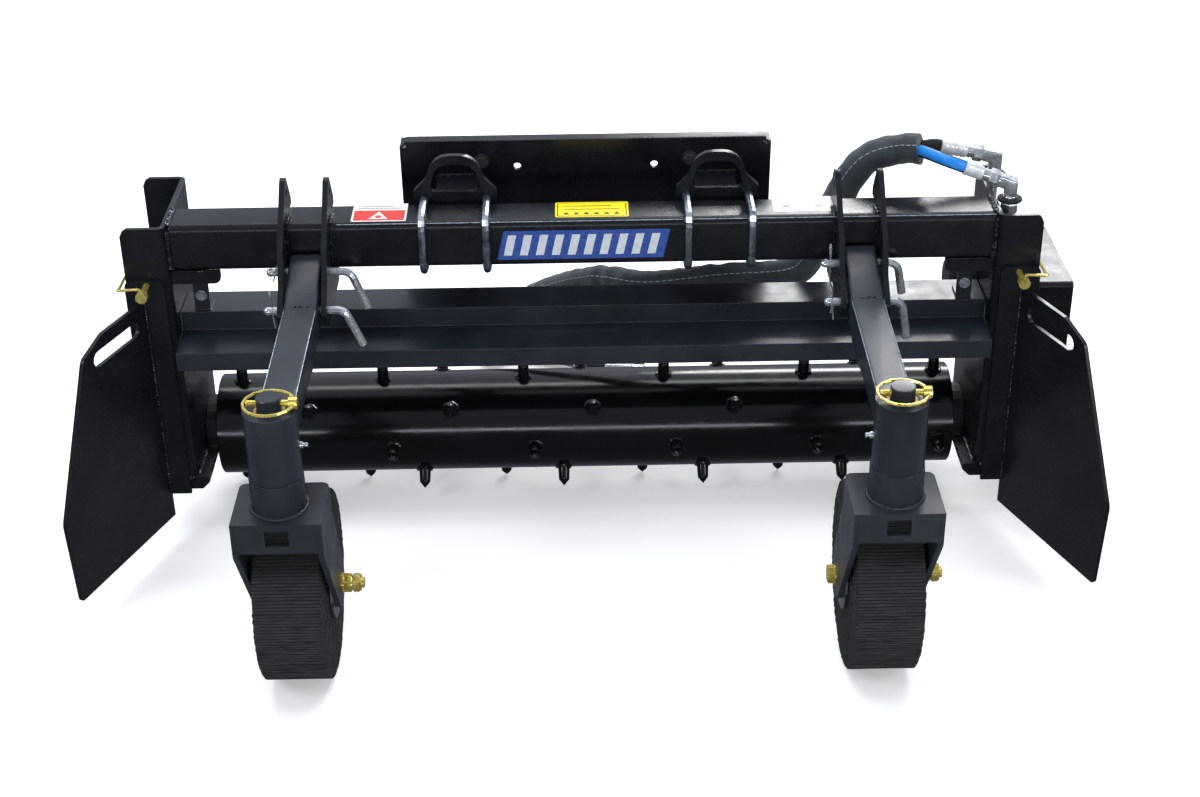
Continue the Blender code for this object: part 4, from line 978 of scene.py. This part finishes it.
def rectangle(x0, y0, x1, y1, corner=0.0):
    if corner == 0.0:
        return [(x0, y0), (x1, y0), (x1, y1), (x0, y1)]
    outline = []
    for cx, cy, start in ((x1 - corner, y0 + corner, -90), (x1 - corner, y1 - corner, 0),
                          (x0 + corner, y1 - corner, 90), (x0 + corner, y0 + corner, 180)):
        for step in range(5):
            angle = math.radians(start + 22.5 * step)
            outline.append((cx + corner * math.cos(angle), cy + corner * math.sin(angle)))
    return outline


def disc(x, y, radius):
    angles = [math.tau * k / 20 for k in range(20)]
    return [(x + radius * math.cos(angle), y + radius * math.sin(angle)) for angle in angles]


def decal(name, origin, across, up, materials, layers):
    """Thin printed label: each layer is (height step, material index, outline)."""
    across = Vector(across)
    up = Vector(up)
    normal = across.cross(up)
    data = bmesh.new()
    for level, index, outline in layers:
        top = 0.00035 + 0.00012 * level
        rings = [[Vector(origin) + across * a + up * b + normal * height for a, b in outline]
                 for height in (0.0, top)]
        before = set(data.faces)
        skin_into(data, rings)
        for face in data.faces:
            if face not in before:
                face.material_index = index
    return add_object(name, data, materials, "frame", smooth=False)


def build_decals():
    warning = [(0, 0, rectangle(0.000, 0.000, 0.084, 0.065, 0.003)),
               (1, 1, rectangle(0.003, 0.003, 0.081, 0.040)),
               (2, 0, [(0.026, 0.008), (0.056, 0.008), (0.041, 0.035)]),
               (3, 1, disc(0.041, 0.0165, 0.0052)),
               (1, 2, rectangle(0.008, 0.047, 0.076, 0.0485)),
               (1, 2, rectangle(0.008, 0.054, 0.064, 0.0555))]
    decal("decal_pinch_point", (-0.354, 0.123, TOP), (1, 0, 0), (0, 1, 0), [WHITE, RED, INK], warning)
    notice = [(0, 0, rectangle(0.000, 0.000, 0.113, 0.055, 0.004)),
              (1, 1, rectangle(0.003, 0.003, 0.110, 0.052, 0.003)),
              (2, 0, rectangle(0.0045, 0.0045, 0.1085, 0.0505, 0.0025))]
    for k in range(6):
        x = 0.012 + 0.0155 * k
        notice.append((3, 1, [(x, 0.009), (x + 0.010, 0.009), (x + 0.005, 0.018)]))
    for k in range(2):
        notice.append((3, 1, rectangle(0.014, 0.027 + 0.012 * k, 0.099 - 0.012 * k, 0.029 + 0.012 * k)))
    decal("decal_notice", (-0.042, 0.127, TOP), (1, 0, 0), (0, 1, 0), [AMBER, INK], notice)
    guide = [(0, 0, rectangle(0.000, 0.000, 0.093, 0.055, 0.002)),
             (1, 2, rectangle(0.003, 0.0075, 0.090, 0.0110)),
             (1, 1, rectangle(0.0455, 0.0125, 0.0467, 0.0270)),
             (1, 1, disc(0.020, 0.0200, 0.0062)),
             (1, 1, [(0.056, 0.0145), (0.084, 0.0145), (0.070, 0.0260)]),
             (1, 3, rectangle(0.008, 0.031, 0.084, 0.0318)),
             (1, 3, rectangle(0.008, 0.038, 0.084, 0.0388)),
             (1, 3, rectangle(0.008, 0.045, 0.070, 0.0458))]
    decal("decal_guide", (0.294, 0.135, TOP), (1, 0, 0), (0, 1, 0), [WHITE, INK, ORANGE, SILVER], guide)
    lean = 0.011
    band = [(0, 0, [(0.000, 0.000), (0.255, 0.000), (0.266, 0.048), (lean, 0.048)])]
    for k in range(10):
        x = 0.010 + 0.0245 * k
        low = 0.007
        high = 0.041
        width = 0.0125
        slant = lean * (high - low) / 0.048
        band.append((1, 1, [(x, low), (x + width, low), (x + width + slant, high), (x + slant, high)]))
    decal("decal_stripe_band", (-0.132, FRONT, TOP - 0.064), (1, 0, 0), (0, 0, 1), [BLUE, SILVER], band)


# ------------------------------------------------------------ lights and floor

def area_light(name, place, aim, size, power, colour=(1, 1, 1)):
    light = bpy.data.lights.new(name, "AREA")
    light.shape = "RECTANGLE"
    light.size = size[0]
    light.size_y = size[1]
    light.energy = power
    light.color = colour
    holder = bpy.data.objects.new(name, light)
    bpy.context.scene.collection.objects.link(holder)
    holder.location = place
    holder.rotation_euler = (Vector(aim) - Vector(place)).to_track_quat("-Z", "Y").to_euler()
    holder.visible_camera = False
    return holder


def build_studio():
    data = bmesh.new()
    size = 14.0
    corners = [data.verts.new((x * size, y * size, -0.0004)) for x, y in ((-1, -1), (1, -1), (1, 1), (-1, 1))]
    data.faces.new(corners)
    mesh = bpy.data.meshes.new("floor")
    data.to_mesh(mesh)
    data.free()
    pale = flat_finish("floor_pale", (0.93, 0.93, 0.93), 0.85, 3.0, 0.01)
    glow = pale.node_tree.nodes["Principled BSDF"].inputs
    glow["Emission Color"].default_value = (1.0, 1.0, 1.0, 1.0)
    glow["Emission Strength"].default_value = 0.35
    mesh.materials.append(pale)
    floor = bpy.data.objects.new("floor", mesh)
    bpy.context.scene.collection.objects.link(floor)
    floor.visible_glossy = False
    build_world()
    bpy.context.scene.view_settings.view_transform = "Standard"
    overhead = area_light("overhead", (0.0, 0.3, 3.6), (0.0, 0.1, 0.3), (4.2, 3.0), 105)
    overhead.visible_glossy = False
    area_light("overhead_glint", (0.0, 1.6, 3.2), (0.0, 0.1, 0.3), (4.0, 0.5), 24)
    area_light("rear_strip", (1.15, 3.1, 1.95), (0.3, 0.1, 0.4), (1.7, 0.70), 46)
    area_light("front_strip", (0.0, -3.0, 0.42), (0.0, 0.19, 0.14), (3.4, 0.24), 20, (0.86, 0.93, 1.0))
    area_light("left_key", (-2.8, -1.6, 2.6), (0, 0, 0.3), (1.2, 1.2), 34, (0.97, 0.98, 1.0))
    area_light("right_fill", (2.8, -1.6, 1.8), (0, 0, 0.3), (1.0, 1.6), 26)


def build_world():
    """White surround: bright overhead, darker below so the paint's faces stay deep."""
    world = bpy.data.worlds.new("studio")
    world.use_nodes = True
    tree = world.node_tree
    lit = tree.nodes["Background"]
    coords = tree.nodes.new("ShaderNodeTexCoord")
    split = tree.nodes.new("ShaderNodeSeparateXYZ")
    tree.links.new(coords.outputs["Generated"], split.inputs["Vector"])
    ramp = tree.nodes.new("ShaderNodeValToRGB")
    lift = tree.nodes.new("ShaderNodeMapRange")
    lift.inputs["From Min"].default_value = -1.0
    tree.links.new(split.outputs["Z"], lift.inputs["Value"])
    tree.links.new(lift.outputs["Result"], ramp.inputs["Fac"])
    stops = ((0.0, 0.10), (0.48, 0.14), (0.56, 0.34), (1.0, 0.52))
    while len(ramp.color_ramp.elements) < len(stops):
        ramp.color_ramp.elements.new(0.5)
    for element, (position, level) in zip(ramp.color_ramp.elements, stops):
        element.position = position
        element.color = (level * 0.90, level * 0.97, level * 1.12, 1.0)
    tree.links.new(ramp.outputs["Color"], lit.inputs["Color"])
    backdrop = tree.nodes.new("ShaderNodeMapRange")
    backdrop.interpolation_type = "SMOOTHSTEP"
    backdrop.inputs["From Min"].default_value = -0.3
    backdrop.inputs["From Max"].default_value = 0.8
    backdrop.inputs["To Min"].default_value = 0.75
    backdrop.inputs["To Max"].default_value = 1.7
    tree.links.new(split.outputs["Y"], backdrop.inputs["Value"])
    tree.links.new(backdrop.outputs["Result"], lit.inputs["Strength"])
    seen = tree.nodes.new("ShaderNodeBackground")
    seen.inputs["Color"].default_value = (1.0, 1.0, 1.0, 1.0)
    path = tree.nodes.new("ShaderNodeLightPath")
    mix = tree.nodes.new("ShaderNodeMixShader")
    tree.links.new(path.outputs["Is Camera Ray"], mix.inputs["Fac"])
    tree.links.new(lit.outputs["Background"], mix.inputs[1])
    tree.links.new(seen.outputs["Background"], mix.inputs[2])
    tree.links.new(mix.outputs["Shader"], tree.nodes["World Output"].inputs["Surface"])
    bpy.context.scene.world = world


build_camera()
build_studio()
finish_nodes()
build_hoses()
build_fitting("front", (LINE_X, 0.236), FRONT_ELBOW, FRONT_FERRULE, 0.026)
build_fitting("rear", (LINE_X, 0.280), REAR_ELBOW, REAR_FERRULE, 0.020)
build_drum()
for side, label in ((-1, "left"), (1, "right")):
    build_tyre(side, label)
    build_arm_details(side, label)
    build_caster_details(side, label)
build_pin_clips()
build_frame_welds()
build_cover_bolts()
build_decals()
